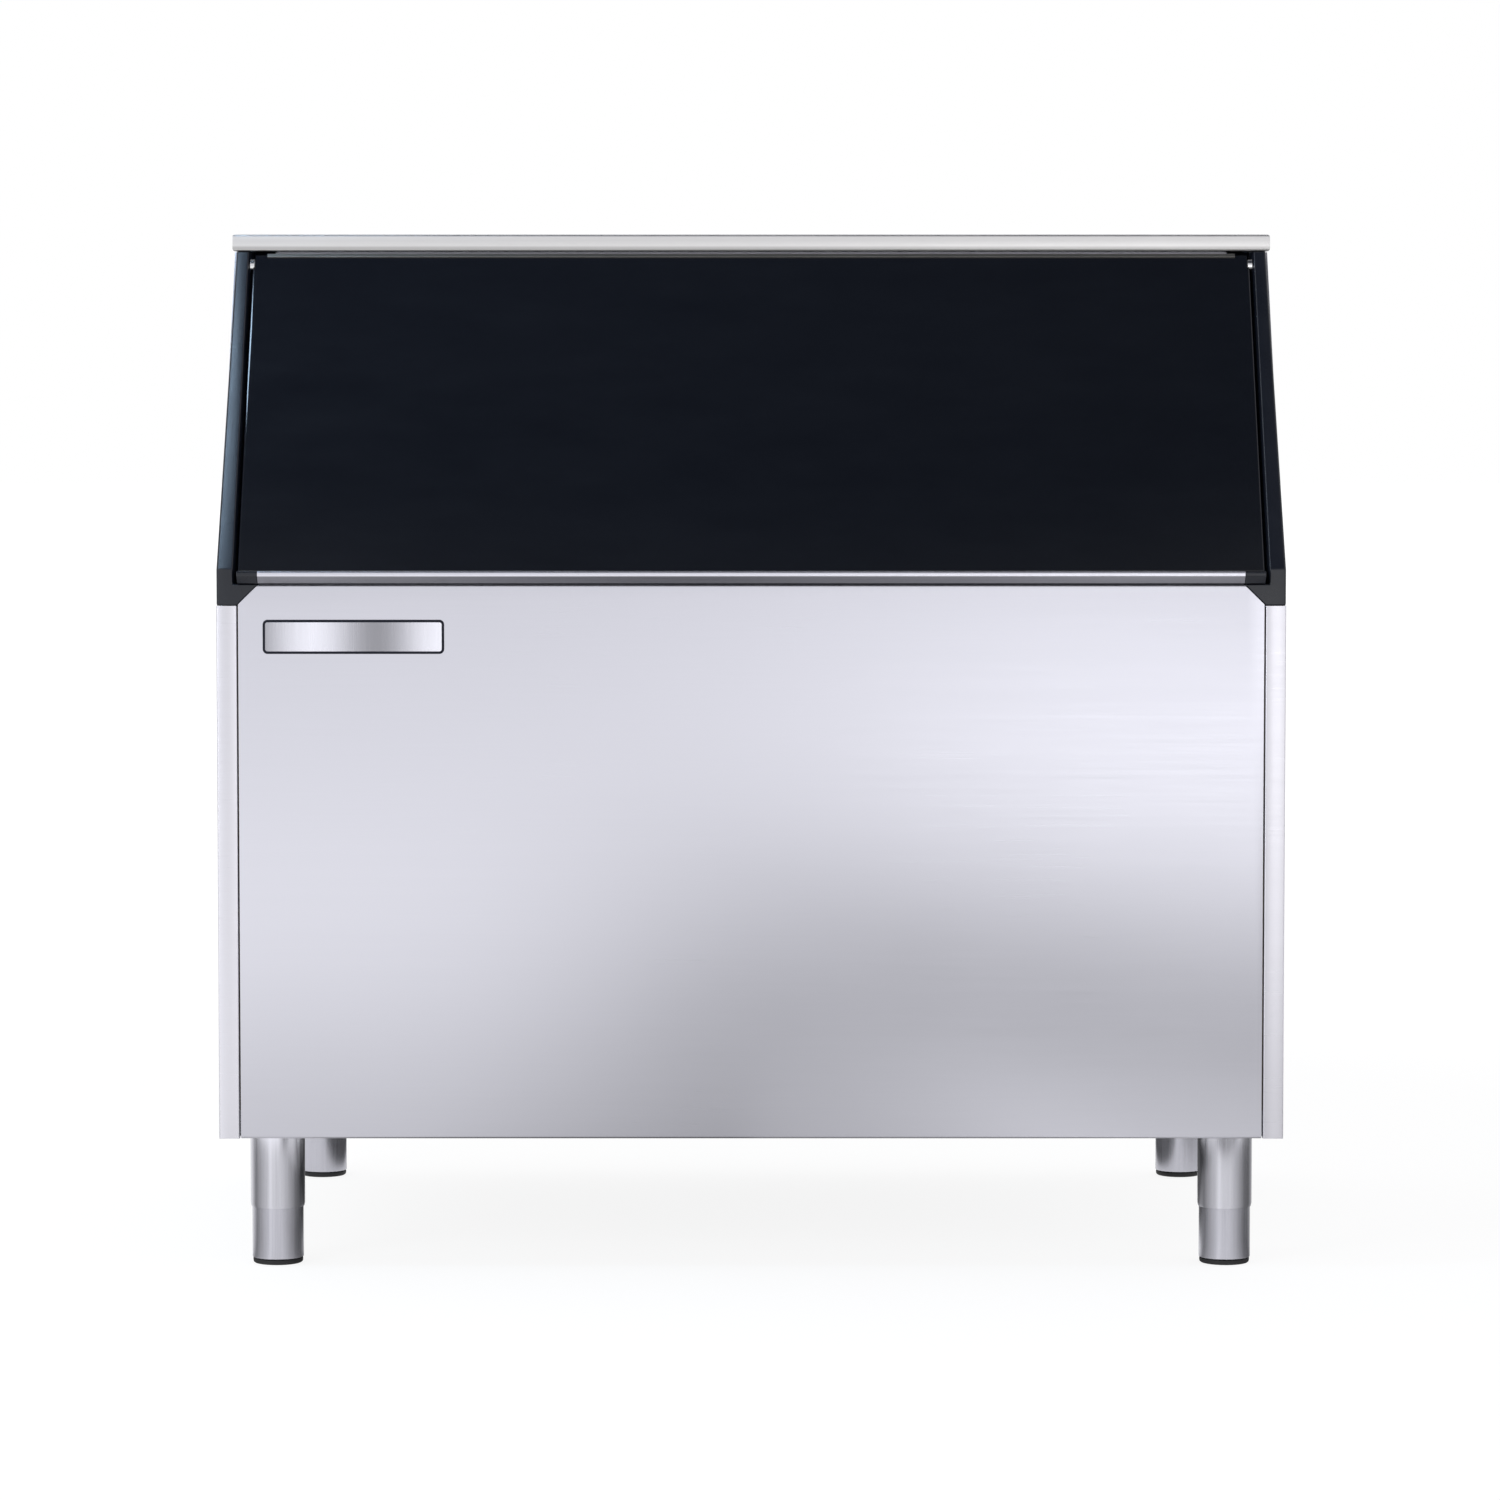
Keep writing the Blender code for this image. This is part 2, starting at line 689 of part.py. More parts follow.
def make_base_pan():
    """The tray under the insulation, pierced for the leg studs and the drain."""
    near = FRONT + SIDE_RETURN + TOUCH
    far = BACK_INNER - TOUCH
    mesh = bmesh.new()
    box(mesh, (-CASING_HALF, near, PAN_BOTTOM), (CASING_HALF, far, PAN_BOTTOM + PAN_RIM))
    pan = solid("base_pan", mesh, ZINC)
    hollow = bmesh.new()
    inner = CASING_HALF - PAN_SHEET
    box(hollow, (-inner, near + PAN_SHEET, PAN_TOP), (inner, far - PAN_SHEET, PAN_TOP + PAN_RIM))
    carve(pan, "hollow", hollow)
    holes = bmesh.new()
    for _, x, y in leg_places():
        place = Matrix.Translation((x, y, PAN_BOTTOM))
        rod(holes, STUD_RADIUS + FIT_GAP, -OVERRUN, OVERRUN, LEG_STEPS, place)
    place = Matrix.Translation((0, DRAIN_Y, PAN_BOTTOM))
    rod(holes, DRAIN_BARREL_RADIUS + FIT_GAP, -OVERRUN, OVERRUN, DRAIN_STEPS, place)
    return carve(pan, "holes", holes)


def make_rim():
    """The stainless frame round the open top, hemmed outside and skirted inside the throat."""
    mid = RIM_SHEET / 2
    section = folded([
        (RIM_HEM, RIM_UNDER + mid),
        (mid, RIM_UNDER + mid),
        (mid, TOP - mid),
        (RIM_WIDTH - mid, TOP - mid),
        (RIM_WIDTH - mid, TOP - THROAT_SKIRT),
    ], RIM_SHEET, RIM_FOLD_RADIUS)
    mesh = bmesh.new()
    picture_frame(mesh, section, HALF, RIM_FRONT, BACK)
    return solid("top_rim", mesh, STAINLESS)


# Insulated store

def store_body(mesh, grow, slope_depth, height):
    """The ice store's shape grown outwards, with rounded corners, cut off at the door."""
    floor = FLOOR - grow
    rise = floor + FLOOR_FALL
    outline = [
        (STORE_FRONT - grow, rise),
        (STORE_BACK - FLOOR_FLAT, floor),
        (STORE_BACK + grow, floor),
        (STORE_BACK + grow, height),
        slope_at_height(slope_depth, height),
        slope_at_y(slope_depth, STORE_FRONT - grow),
    ]
    prism(mesh, outline, "X", -STORE_HALF - grow, STORE_HALF + grow)
    bend = STORE_BACK - FLOOR_FLAT
    corners = [
        edge for edge in mesh.edges
        if min(vert.co.z for vert in edge.verts) < rise + WELD
        and not all(abs(vert.co.y - bend) < WELD for vert in edge.verts)
    ]
    bmesh.ops.bevel(
        mesh, geom=corners, offset=LINER_CORNER + grow, segments=LINER_CORNER_STEPS,
        profile=LINER_CORNER_SHARE, affect="EDGES", clamp_overlap=True,
    )


def make_liner():
    """The plastic tub that holds the ice, flanged behind the door frame."""
    mesh = bmesh.new()
    store_body(mesh, LINER, LINER_FRONT + LINER / 2, RIM_UNDER - TOUCH)
    liner = solid("liner", mesh, WHITE_PLASTIC)

    flange = bmesh.new()
    top = along_at_height(LINER_FRONT, RIM_UNDER - TOUCH - FIT_GAP)
    box(flange, (-RECESS_SIDE, LINER_FRONT, LINER_FLANGE_FOOT),
        (RECESS_SIDE, LINER_FRONT + LINER, top))
    carve(liner, "flange", flange, "UNION", ON_SLOPE)

    store = bmesh.new()
    store_body(store, 0, LINER_FRONT - OVERRUN, RIM_UNDER + OVERRUN)
    carve(liner, "store", store)
    holes = bmesh.new()
    rod(holes, DRAIN_BARREL_RADIUS + FIT_GAP, -OVERRUN, OVERRUN, DRAIN_STEPS,
        Matrix.Translation((0, DRAIN_Y, FLOOR)))
    for place in frame_screw_places():
        screw_hole(holes, ON_SLOPE @ place)
    return carve(liner, "holes", holes)


def make_insulation():
    """The foam between the casing and the liner, as one poured block."""
    front = FRONT + SHEET + TOUCH
    back = BACK_INNER - TOUCH
    low = PAN_BOTTOM + PAN_RIM + TOUCH
    high = RIM_UNDER - TOUCH
    shoulder = BRACKET_BOTTOM - FIT_GAP - TOUCH
    mesh = bmesh.new()
    prism(mesh, [
        (front, low),
        (back, low),
        (back, high),
        slope_at_height(FOAM_SLOPE, high),
        knee(FOAM_SLOPE),
        (FRONT + FOAM_SLOPE, shoulder),
        (front, shoulder),
    ], "X", -CASING_HALF, CASING_HALF)
    foam = solid("insulation", mesh, FOAM)

    inset = PAN_SHEET + TOUCH
    base = bmesh.new()
    half = CASING_HALF - inset
    box(base, (-half, FRONT + SIDE_RETURN + TOUCH + inset, PAN_TOP + TOUCH),
        (half, back - inset, low + LINER))
    carve(foam, "base", base, "UNION")

    store = bmesh.new()
    store_body(store, LINER + TOUCH, LINER_FRONT - OVERRUN, RIM_UNDER + OVERRUN)
    carve(foam, "store", store)

    chases = bmesh.new()
    for near, far in both_sides(PANEL_HALF - SHEET - TOUCH, HALF - FLANGE_WIDTH + SHEET + TOUCH):
        deep = FRONT + max(SIDE_RETURN, FLANGE_HEM) + TOUCH
        box(chases, (near, front - OVERRUN, UNDER), (far, deep, RIM_UNDER))
    pocket = LEG_PLATE_SIDE / 2 + TOUCH
    stud_top = PAN_BOTTOM - TOUCH + STUD_LENGTH + TOUCH
    for _, x, y in leg_places():
        box(chases, (x - pocket, y - pocket, PAN_BOTTOM),
            (x + pocket, y + pocket, PAN_TOP + TOUCH + LEG_PLATE + TOUCH))
        place = Matrix.Translation((x, y, 0))
        rod(chases, STUD_RADIUS + FIT_GAP, PAN_TOP + LEG_PLATE, stud_top, LEG_STEPS, place)
    rod(chases, DRAIN_BARREL_RADIUS + FIT_GAP, PAN_BOTTOM, FLOOR, DRAIN_STEPS,
        Matrix.Translation((0, DRAIN_Y, 0)))
    return carve(foam, "chases", chases)


def make_header():
    """The channel that closes the gap between the door's top edge and the rim."""
    mid = HEADER_SHEET / 2
    front = PIVOT_Y + HEADER_CLEARANCE + mid
    back = THROAT_FRONT - RIM_SHEET - mid
    under_top = TOP - RIM_SHEET - TOUCH - mid
    low = RIM_UNDER - HEADER_DROP
    mesh = bmesh.new()
    reach = STORE_HALF - TOUCH
    prism(mesh, folded([
        (back - RIM_FOLD_RADIUS, under_top),
        (front, under_top),
        (front, low + mid),
        (back, low + mid),
        (back, low + HEADER_LIP),
    ], HEADER_SHEET, FOLD_RADIUS), "X", -reach, reach)
    header = solid("header_channel", mesh, STAINLESS)
    holes = bmesh.new()
    for place in thumb_places():
        rod(holes, THUMB_SHANK_RADIUS + TOUCH, -THUMB_SHANK - OVERRUN / 2, OVERRUN, THUMB_STEPS, place)
    return carve(header, "screw_holes", holes)


def make_deflector():
    """The plate behind the door that keeps falling ice off it."""
    front = THROAT_FRONT - RIM_SHEET + TOUCH + DEFLECTOR_SHEET / 2
    top = TOP - THROAT_SKIRT - DEFLECTOR_TOP_GAP
    bend = RIM_UNDER - HEADER_DROP - HEADER_SHEET
    mesh = bmesh.new()
    prism(mesh, folded([
        (front, top),
        (front, bend),
        (front + DEFLECTOR_LEAN, bend - DEFLECTOR_DROP),
        (front + DEFLECTOR_LEAN, bend - DEFLECTOR_DROP - DEFLECTOR_TAIL),
    ], DEFLECTOR_SHEET, FOLD_RADIUS), "X", -DEFLECTOR_HALF, DEFLECTOR_HALF)
    deflector = solid("ice_deflector", mesh, WHITE_PLASTIC)
    holes = bmesh.new()
    for place in thumb_places():
        rod(holes, THUMB_SHANK_RADIUS + TOUCH, -OVERRUN / 2, OVERRUN, THUMB_STEPS, place)
    return carve(deflector, "screw_holes", holes)


def make_deflector_screw(number, place):
    mesh = bmesh.new()
    turned(mesh, [
        (0, THUMB_HEIGHT),
        (THUMB_RADIUS - THUMB_CHAMFER, THUMB_HEIGHT),
        (THUMB_RADIUS, THUMB_HEIGHT - THUMB_CHAMFER),
        (THUMB_RADIUS, 0),
        (THUMB_SHANK_RADIUS, 0),
        (THUMB_SHANK_RADIUS, -THUMB_SHANK),
        (0, -THUMB_SHANK),
    ], THUMB_STEPS, place)
    return solid(f"deflector_screw_{number}", mesh, NYLON)


def make_drain():
    """The bulkhead fitting through the floor, with its gasket, strainer and nut."""
    place = Matrix.Translation((0, DRAIN_Y, 0))
    bearing = FLOOR + TOUCH + DRAIN_GASKET + TOUCH
    top = bearing + DRAIN_FLANGE
    seat = top - STRAINER_SEAT
    fitting = bmesh.new()
    turned(fitting, [
        (DRAIN_BORE_RADIUS, PAN_BOTTOM - DRAIN_TAIL),
        (DRAIN_BARREL_RADIUS, PAN_BOTTOM - DRAIN_TAIL),
        (DRAIN_BARREL_RADIUS, bearing),
        (DRAIN_FLANGE_RADIUS, bearing),
        (DRAIN_FLANGE_RADIUS, top - DRAIN_CHAMFER),
        (DRAIN_FLANGE_RADIUS - DRAIN_CHAMFER, top),
        (STRAINER_RADIUS + TOUCH, top),
        (STRAINER_RADIUS + TOUCH, seat),
        (DRAIN_BORE_RADIUS, seat),
    ], DRAIN_STEPS, place)
    solid("drain_fitting", fitting, NYLON)

    gasket = bmesh.new()
    turned(gasket, [
        (DRAIN_BARREL_RADIUS + TOUCH, FLOOR + TOUCH),
        (DRAIN_FLANGE_RADIUS, FLOOR + TOUCH),
        (DRAIN_FLANGE_RADIUS, FLOOR + TOUCH + DRAIN_GASKET),
        (DRAIN_BARREL_RADIUS + TOUCH, FLOOR + TOUCH + DRAIN_GASKET),
    ], DRAIN_STEPS, place)
    solid("drain_gasket", gasket, RUBBER)

    strainer = bmesh.new()
    rod(strainer, STRAINER_RADIUS, seat + TOUCH, seat + TOUCH + STRAINER, DRAIN_STEPS, place)
    disc = solid("drain_strainer", strainer, POLISHED)
    holes = bmesh.new()
    for number in range(STRAINER_HOLES):
        swing = Matrix.Rotation(math.tau * number / STRAINER_HOLES, 4, "Z")
        centre = place @ swing @ Matrix.Translation((STRAINER_HOLE_CIRCLE, 0, 0))
        rod(holes, STRAINER_HOLE_RADIUS, FLOOR, top + OVERRUN, STRAINER_HOLE_STEPS, centre)
    carve(disc, "holes", holes)

    nut = bmesh.new()
    high = PAN_BOTTOM - TOUCH
    rod(nut, DRAIN_NUT_RADIUS, high - DRAIN_NUT_HEIGHT, high, DRAIN_NUT_SIDES, place)
    body = solid("drain_nut", nut, NYLON)
    thread = bmesh.new()
    rod(thread, DRAIN_BARREL_RADIUS + TOUCH, high - OVERRUN, high + OVERRUN, DRAIN_STEPS, place)
    carve(body, "thread", thread)


# Door frame

def recess_section(side):
    """The door's recess, widest at the front, as an (x, depth) section for one side."""
    return [(side * x, depth) for x, depth in (
        (FRAME_INNER - OVERRUN, -OVERRUN),
        (RECESS_SIDE + DRAFT * OVERRUN / DRAFT_DEPTH, -OVERRUN),
        (RECESS_WALL, DRAFT_DEPTH),
        (RECESS_WALL, SEAT_DEPTH),
        (FRAME_INNER - OVERRUN, SEAT_DEPTH),
    )]


def make_door_frame(hand, side):
    """A moulding up one side of the door, with a rounded outer edge and a corner bracket below."""
    corners = [
        (FRAME_INNER, FRAME_DEPTH),
        (FRAME_INNER, 0),
        (FRAME_OUTER, 0),
        (FRAME_OUTER, FRAME_DEPTH),
    ]
    section = [*corners[:2], *rounded(corners[1:], FRAME_ROUND, FRAME_ROUND_STEPS)[1:]]
    mesh = bmesh.new()
    front_sweep(mesh, [(side * x, depth) for x, depth in section], BRACKET_BOTTOM,
                RIM_UNDER - TOUCH, FRAME_TAPER)
    frame = solid(f"door_frame_{hand}", mesh, BLACK_SATIN)

    recess = bmesh.new()
    front_sweep(recess, recess_section(side), SILL, RIM_UNDER + OVERRUN)
    carve(frame, "recess", recess)

    corner = bmesh.new()
    run = (HALF - FLANGE_WIDTH - FRAME_INNER) / BRACKET_DROP
    prism(corner, [
        (side * (FRAME_INNER - OVERRUN * run), SILL + OVERRUN),
        (side * (HALF - FLANGE_WIDTH + OVERRUN * run), BRACKET_BOTTOM - OVERRUN),
        (side * (FRAME_INNER - OVERRUN * run), BRACKET_BOTTOM - OVERRUN),
    ], "Y", FRONT - OVERRUN, FRONT + FRAME_DEPTH + OVERRUN)
    carve(frame, "corner", corner)

    pocket = bmesh.new()
    turned(pocket, [
        (0, FRAME_INNER),
        (COLLAR_RADIUS + FIT_GAP, FRAME_INNER),
        (COLLAR_RADIUS + FIT_GAP, COLLAR_SEAT + TOUCH),
        (SHANK_RADIUS + TOUCH, COLLAR_SEAT + TOUCH),
        (SHANK_RADIUS + TOUCH, COLLAR_SEAT + SHANK_LENGTH + TOUCH),
        (0, COLLAR_SEAT + SHANK_LENGTH + TOUCH),
    ], PIN_STEPS, facing((0, PIVOT_Y, PIVOT_Z), (side, 0, 0)))
    for place in frame_screw_places():
        screw_hole(pocket, ON_SLOPE @ place)
    return carve(frame, "pockets", pocket)


def make_hinge_pin(hand, side):
    """The steel pin that the door turns on, pressed into the frame up to its collar."""
    mesh = bmesh.new()
    turned(mesh, [
        (0, COLLAR_INNER - PIN_REACH),
        (PIN_RADIUS, COLLAR_INNER - PIN_REACH),
        (PIN_RADIUS, COLLAR_INNER),
        (COLLAR_RADIUS - COLLAR_CHAMFER, COLLAR_INNER),
        (COLLAR_RADIUS, COLLAR_INNER + COLLAR_CHAMFER),
        (COLLAR_RADIUS, COLLAR_SEAT),
        (SHANK_RADIUS, COLLAR_SEAT),
        (SHANK_RADIUS, COLLAR_SEAT + SHANK_LENGTH),
        (0, COLLAR_SEAT + SHANK_LENGTH),
    ], PIN_STEPS, facing((0, PIVOT_Y, PIVOT_Z), (side, 0, 0)))
    return solid(f"hinge_pin_{hand}", mesh, POLISHED)


def make_frame_seal():
    """The gasket round the sides and foot of the mouth that the closed door lies on."""
    outer = SEAL_HALF
    inner = SEAL_HALF - SEAL_WIDTH
    top = DOOR_TOP - SEAL_TOP_MARGIN
    foot = SEAL_FOOT
    mesh = bmesh.new()
    prism(mesh, [
        (-outer, foot),
        (outer, foot),
        (outer, top),
        (inner, top),
        (inner, foot + SEAL_WIDTH),
        (-inner, foot + SEAL_WIDTH),
        (-inner, top),
        (-outer, top),
    ], "Y", DOOR_BACK + TOUCH, SEAT_DEPTH - TOUCH)
    return solid("frame_seal", mesh, RUBBER, place=ON_SLOPE)


# Door

def make_door_shell(pivot):
    """The black outer tray, notched at its top corners for the pivot pins."""
    rings = []
    for step in range(DOOR_ROUND_STEPS + 1):
        turn = math.pi / 2 * step / DOOR_ROUND_STEPS
        inset = DOOR_ROUND * (1 - math.sin(turn))
        depth = DOOR_FACE + DOOR_ROUND * (1 - math.cos(turn))
        rings.append(slope_ring(DOOR_HALF, DOOR_FOOT, DOOR_TOP, depth, inset))
    rings.append(slope_ring(DOOR_HALF, DOOR_FOOT, DOOR_TOP, DOOR_BACK))
    mesh = bmesh.new()
    loft(mesh, rings)
    shell = solid("door_shell", mesh, BLACK_GLOSS, pivot, IN_DOOR)

    hollow = bmesh.new()
    inner = DOOR_HALF - DOOR_SHELL
    block = DOOR_HALF - PIVOT_BLOCK
    top = DOOR_TOP - DOOR_SHELL
    shoulder = PIVOT_ALONG - PIVOT_BLOCK_BELOW
    foot = DOOR_FOOT + DOOR_FOOT_WALL
    prism(hollow, [
        (-inner, foot),
        (inner, foot),
        (inner, shoulder),
        (block, shoulder),
        (block, top),
        (-block, top),
        (-block, shoulder),
        (-inner, shoulder),
    ], "Y", DOOR_FACE + DOOR_SHELL, DOOR_BACK + OVERRUN)
    carve(shell, "hollow", hollow, place=IN_DOOR)

    notches = bmesh.new()
    for low, high in both_sides(NOTCH_FACE, HALF):
        box(notches, (low, DOOR_FACE - OVERRUN, PIVOT_ALONG - PIVOT_NOTCH_BELOW),
            (high, DOOR_BACK + OVERRUN, DOOR_TOP + OVERRUN))
    carve(shell, "notches", notches, place=IN_DOOR)

    holes = bmesh.new()
    for side in (-1, 1):
        rod(holes, BUSH_RADIUS + TOUCH, NOTCH_FACE - BUSH_LENGTH - TOUCH, HALF, PIN_STEPS,
            facing((0, PIVOT_DEPTH, PIVOT_ALONG), (side, 0, 0)))
    for place in rail_screw_places():
        rod(holes, SCREW_RADIUS + TOUCH, -RAIL_SCREW_LENGTH - TOUCH, OVERRUN, SCREW_STEPS, place)
    return carve(shell, "holes", holes, place=IN_DOOR)


def make_inner_skin(pivot):
    """The door's inside panel, with a raised middle that plugs the mouth."""
    half = DOOR_HALF - DOOR_SHELL - TOUCH
    foot = DOOR_FOOT + DOOR_FOOT_WALL + TOUCH
    top = PIVOT_ALONG - PIVOT_BLOCK_BELOW - TOUCH
    front = DOOR_BACK - INNER_SKIN
    base = INNER_RAISE_MARGIN
    crest = base + INNER_RAISE_SLANT
    under = base + INNER_SKIN
    under_crest = crest + INNER_SKIN
    mesh = bmesh.new()
    loft(mesh, [
        slope_ring(half, foot, top, front + INNER_RAISE, under_crest),
        slope_ring(half, foot, top, front, under),
        slope_ring(half, foot, top, front),
        slope_ring(half, foot, top, DOOR_BACK),
        slope_ring(half, foot, top, DOOR_BACK, base),
        slope_ring(half, foot, top, DOOR_BACK + INNER_RAISE, crest),
    ])
    skin = solid("door_inner_skin", mesh, WHITE_PLASTIC, pivot, IN_DOOR)
    tongue = bmesh.new()
    block = DOOR_HALF - PIVOT_BLOCK - TOUCH
    box(tongue, (-block, front, top - DOOR_SHELL), (block, DOOR_BACK, DOOR_TOP - DOOR_SHELL - TOUCH))
    return carve(skin, "tongue", tongue, "UNION", IN_DOOR)


def make_door_core(pivot):
    """The foam board between the door's two skins."""
    half = DOOR_HALF - DOOR_SHELL - TOUCH
    foot = DOOR_FOOT + DOOR_FOOT_WALL + TOUCH
    top = PIVOT_ALONG - PIVOT_BLOCK_BELOW - TOUCH
    front = DOOR_FACE + DOOR_SHELL + TOUCH
    back = DOOR_BACK - INNER_SKIN - TOUCH
    mesh = bmesh.new()
    box(mesh, (-half, front, foot), (half, back, top))
    core = solid("door_core", mesh, FOAM, pivot, IN_DOOR)
    tongue = bmesh.new()
    block = DOOR_HALF - PIVOT_BLOCK - TOUCH
    box(tongue, (-block, front, top - DOOR_SHELL), (block, back, DOOR_TOP - DOOR_SHELL - TOUCH))
    return carve(core, "tongue", tongue, "UNION", IN_DOOR)


def make_top_strip(pivot):
    """The stainless trim folded over the door's top edge."""
    front = DOOR_FACE - TOUCH - TOP_STRIP / 2
    top = DOOR_TOP + TOUCH + TOP_STRIP / 2
    mesh = bmesh.new()
    half = NOTCH_FACE - TOP_STRIP_END_GAP
    prism(mesh, folded([
        (front, DOOR_TOP - TOP_STRIP_LIP),
        (front, top),
        (DOOR_FACE + TOP_STRIP_BACK, top),
    ], TOP_STRIP, TOP_STRIP), "X", -half, half)
    return solid("door_top_strip", mesh, STAINLESS, pivot, IN_DOOR)


def make_handle_rail(pivot):
    """The stainless lip under the door's lower edge, whose slanting underside fingers push up."""
    mid = RAIL_SHEET / 2
    low = RAIL_LOW + mid
    nose = FRONT - RAIL_PROUD + mid
    bend = on_slope(0, RAIL_ALONG)
    outline = folded([
        (nose + RAIL_SLANT, low),
        (nose, bend[1] - RAIL_LIP),
        (nose, bend[1]),
        bend,
        on_slope(RAIL_WEB, RAIL_ALONG),
    ], RAIL_SHEET, RAIL_BEND, RAIL_BEND_STEPS)
    mesh = bmesh.new()
    prism(mesh, [from_slope(y, z) for y, z in outline], "X", -RAIL_HALF, RAIL_HALF)
    rail = solid("handle_rail", mesh, STAINLESS, pivot, IN_DOOR)
    holes = bmesh.new()
    for place in rail_screw_places():
        rod(holes, SCREW_RADIUS + TOUCH, -TOUCH - RAIL_SHEET - TOUCH, OVERRUN / 2, SCREW_STEPS, place)
    return carve(rail, "screw_holes", holes, place=IN_DOOR)


def make_handle_end(hand, side, pivot):
    """The black block that closes one end of the handle rail."""
    web = DOOR_FOOT - TOUCH
    nose = FRONT - RAIL_PROUD
    back = on_slope(RAIL_WEB, web)
    top = on_slope(0, RAIL_ALONG)[1] + RAIL_SHEET / 2
    round_end = rounded([
        (back[0], RAIL_LOW),
        (nose + RAIL_SLANT, RAIL_LOW),
        (nose, top - RAIL_SHEET / 2 - RAIL_LIP),
        (nose, top),
        on_slope(0, web),
    ], RAIL_BEND + RAIL_SHEET / 2, RAIL_BEND_STEPS)
    mesh = bmesh.new()
    low_x, high_x = sorted((side * (RAIL_HALF + TOUCH), side * DOOR_HALF))
    prism(mesh, [from_slope(y, z) for y, z in (*round_end, back)], "X", low_x, high_x)
    return solid(f"handle_end_{hand}", mesh, BLACK_SATIN, pivot, IN_DOOR)


def make_door_bumper(hand, side, pivot):
    """A rubber foot at a lower corner of the door, which meets the frame's seat."""
    mesh = bmesh.new()
    rod(mesh, BUMPER_RADIUS, DOOR_BACK + TOUCH, SEAT_DEPTH - TOUCH, BUMPER_STEPS,
        facing((side * SCREW_LINE, 0, BUMPER_UP), (0, 1, 0)))
    return solid(f"door_bumper_{hand}", mesh, RUBBER, pivot, IN_DOOR)


def make_hinge_bush(hand, side, pivot):
    """The nylon sleeve in the door's corner that turns on the pin."""
    mesh = bmesh.new()
    inner = PIN_RADIUS + PIN_RUNNING_GAP
    blind = COLLAR_INNER - PIN_REACH - PIN_END_GAP
    turned(mesh, [
        (0, NOTCH_FACE - BUSH_LENGTH),
        (BUSH_RADIUS, NOTCH_FACE - BUSH_LENGTH),
        (BUSH_RADIUS, NOTCH_FACE),
        (inner, NOTCH_FACE),
        (inner, blind),
        (0, blind),
    ], PIN_STEPS, facing((0, PIVOT_DEPTH, PIVOT_ALONG), (side, 0, 0)))
    return solid(f"hinge_bush_{hand}", mesh, NYLON, pivot, IN_DOOR)


# Legs

def make_leg_plate(name, x, y):
    """The threaded plate above the pan that a leg's stud screws into."""
    low = PAN_TOP + TOUCH
    reach = LEG_PLATE_SIDE / 2
    mesh = bmesh.new()
    box(mesh, (x - reach, y - reach, low), (x + reach, y + reach, low + LEG_PLATE))
    plate = solid(f"leg_plate_{name}", mesh, ZINC)
    hole = bmesh.new()
    rod(hole, STUD_RADIUS + TOUCH, low - OVERRUN, low + OVERRUN, LEG_STEPS,
        Matrix.Translation((x, y, 0)))
    return carve(plate, "hole", hole)


def make_leg_sleeve(name, x, y):
    """A leg's outer tube, with its stud on top and the nut disc that the foot screws in."""
    top = PAN_BOTTOM - TOUCH
    low = top - SLEEVE_LENGTH
    inner = SLEEVE_RADIUS - SLEEVE_WALL
    disc = top - NUT_DISC_BELOW_TOP
    mesh = bmesh.new()
    turned(mesh, [
        (0, top + STUD_LENGTH),
        (STUD_RADIUS, top + STUD_LENGTH),
        (STUD_RADIUS, top),
        (SLEEVE_RADIUS, top),
        (SLEEVE_RADIUS, low + SLEEVE_LIP),
        (SLEEVE_RADIUS - SLEEVE_LIP_TAPER, low),
        (inner, low),
        (inner, disc - NUT_DISC),
        (STEM_RADIUS + STEM_GAP, disc - NUT_DISC),
        (STEM_RADIUS + STEM_GAP, disc),
        (inner, disc),
        (inner, top - SLEEVE_TOP),
        (0, top - SLEEVE_TOP),
    ], LEG_STEPS, Matrix.Translation((x, y, 0)))
    return solid(f"leg_sleeve_{name}", mesh, STAINLESS)


def make_foot(name, x, y):
    """The part of a leg that screws up and down: its inner tube and its rubber pad."""
    screw = empty(f"foot_screw_{name}", (x, y, 0))
    outer = SLEEVE_RADIUS - SLEEVE_WALL - TOUCH
    low = PAD_HEIGHT + TOUCH
    sleeve_low = PAN_BOTTOM - TOUCH - SLEEVE_LENGTH
    stem_top = PAN_BOTTOM - TOUCH - SLEEVE_TOP - STEM_TOP_GAP
    mesh = bmesh.new()
    turned(mesh, [
        (0, stem_top),
        (STEM_RADIUS, stem_top),
        (STEM_RADIUS, low + FOOT_BOTTOM),
        (outer - FOOT_WALL, low + FOOT_BOTTOM),
        (outer - FOOT_WALL, sleeve_low + FOOT_OVERLAP),
        (outer, sleeve_low + FOOT_OVERLAP),
        (outer, low + FOOT_ROUND),
        (outer - FOOT_ROUND, low),
        (0, low),
    ], LEG_STEPS)
    solid(f"leg_foot_{name}", mesh, STAINLESS, screw)

    rim = outer - PAD_INSET
    arc = []
    for step in range(PAD_ROUND_STEPS + 1):
        turn = math.pi / 2 * step / PAD_ROUND_STEPS
        arc.append((rim - PAD_ROUND * (1 - math.cos(turn)), PAD_ROUND * (1 - math.sin(turn))))
    pad = bmesh.new()
    turned(pad, [(0, PAD_HEIGHT), (rim, PAD_HEIGHT), *arc, (0, 0)], LEG_STEPS)
    solid(f"foot_pad_{name}", pad, RUBBER, screw)


# Screws

def make_screw(name, place, length, parent=None, group_place=None):
    """One domed screw, whose head bears on its place."""
    mesh = bmesh.new()
    screw_body(mesh, place, length)
    return solid(name, mesh, POLISHED, parent, group_place)


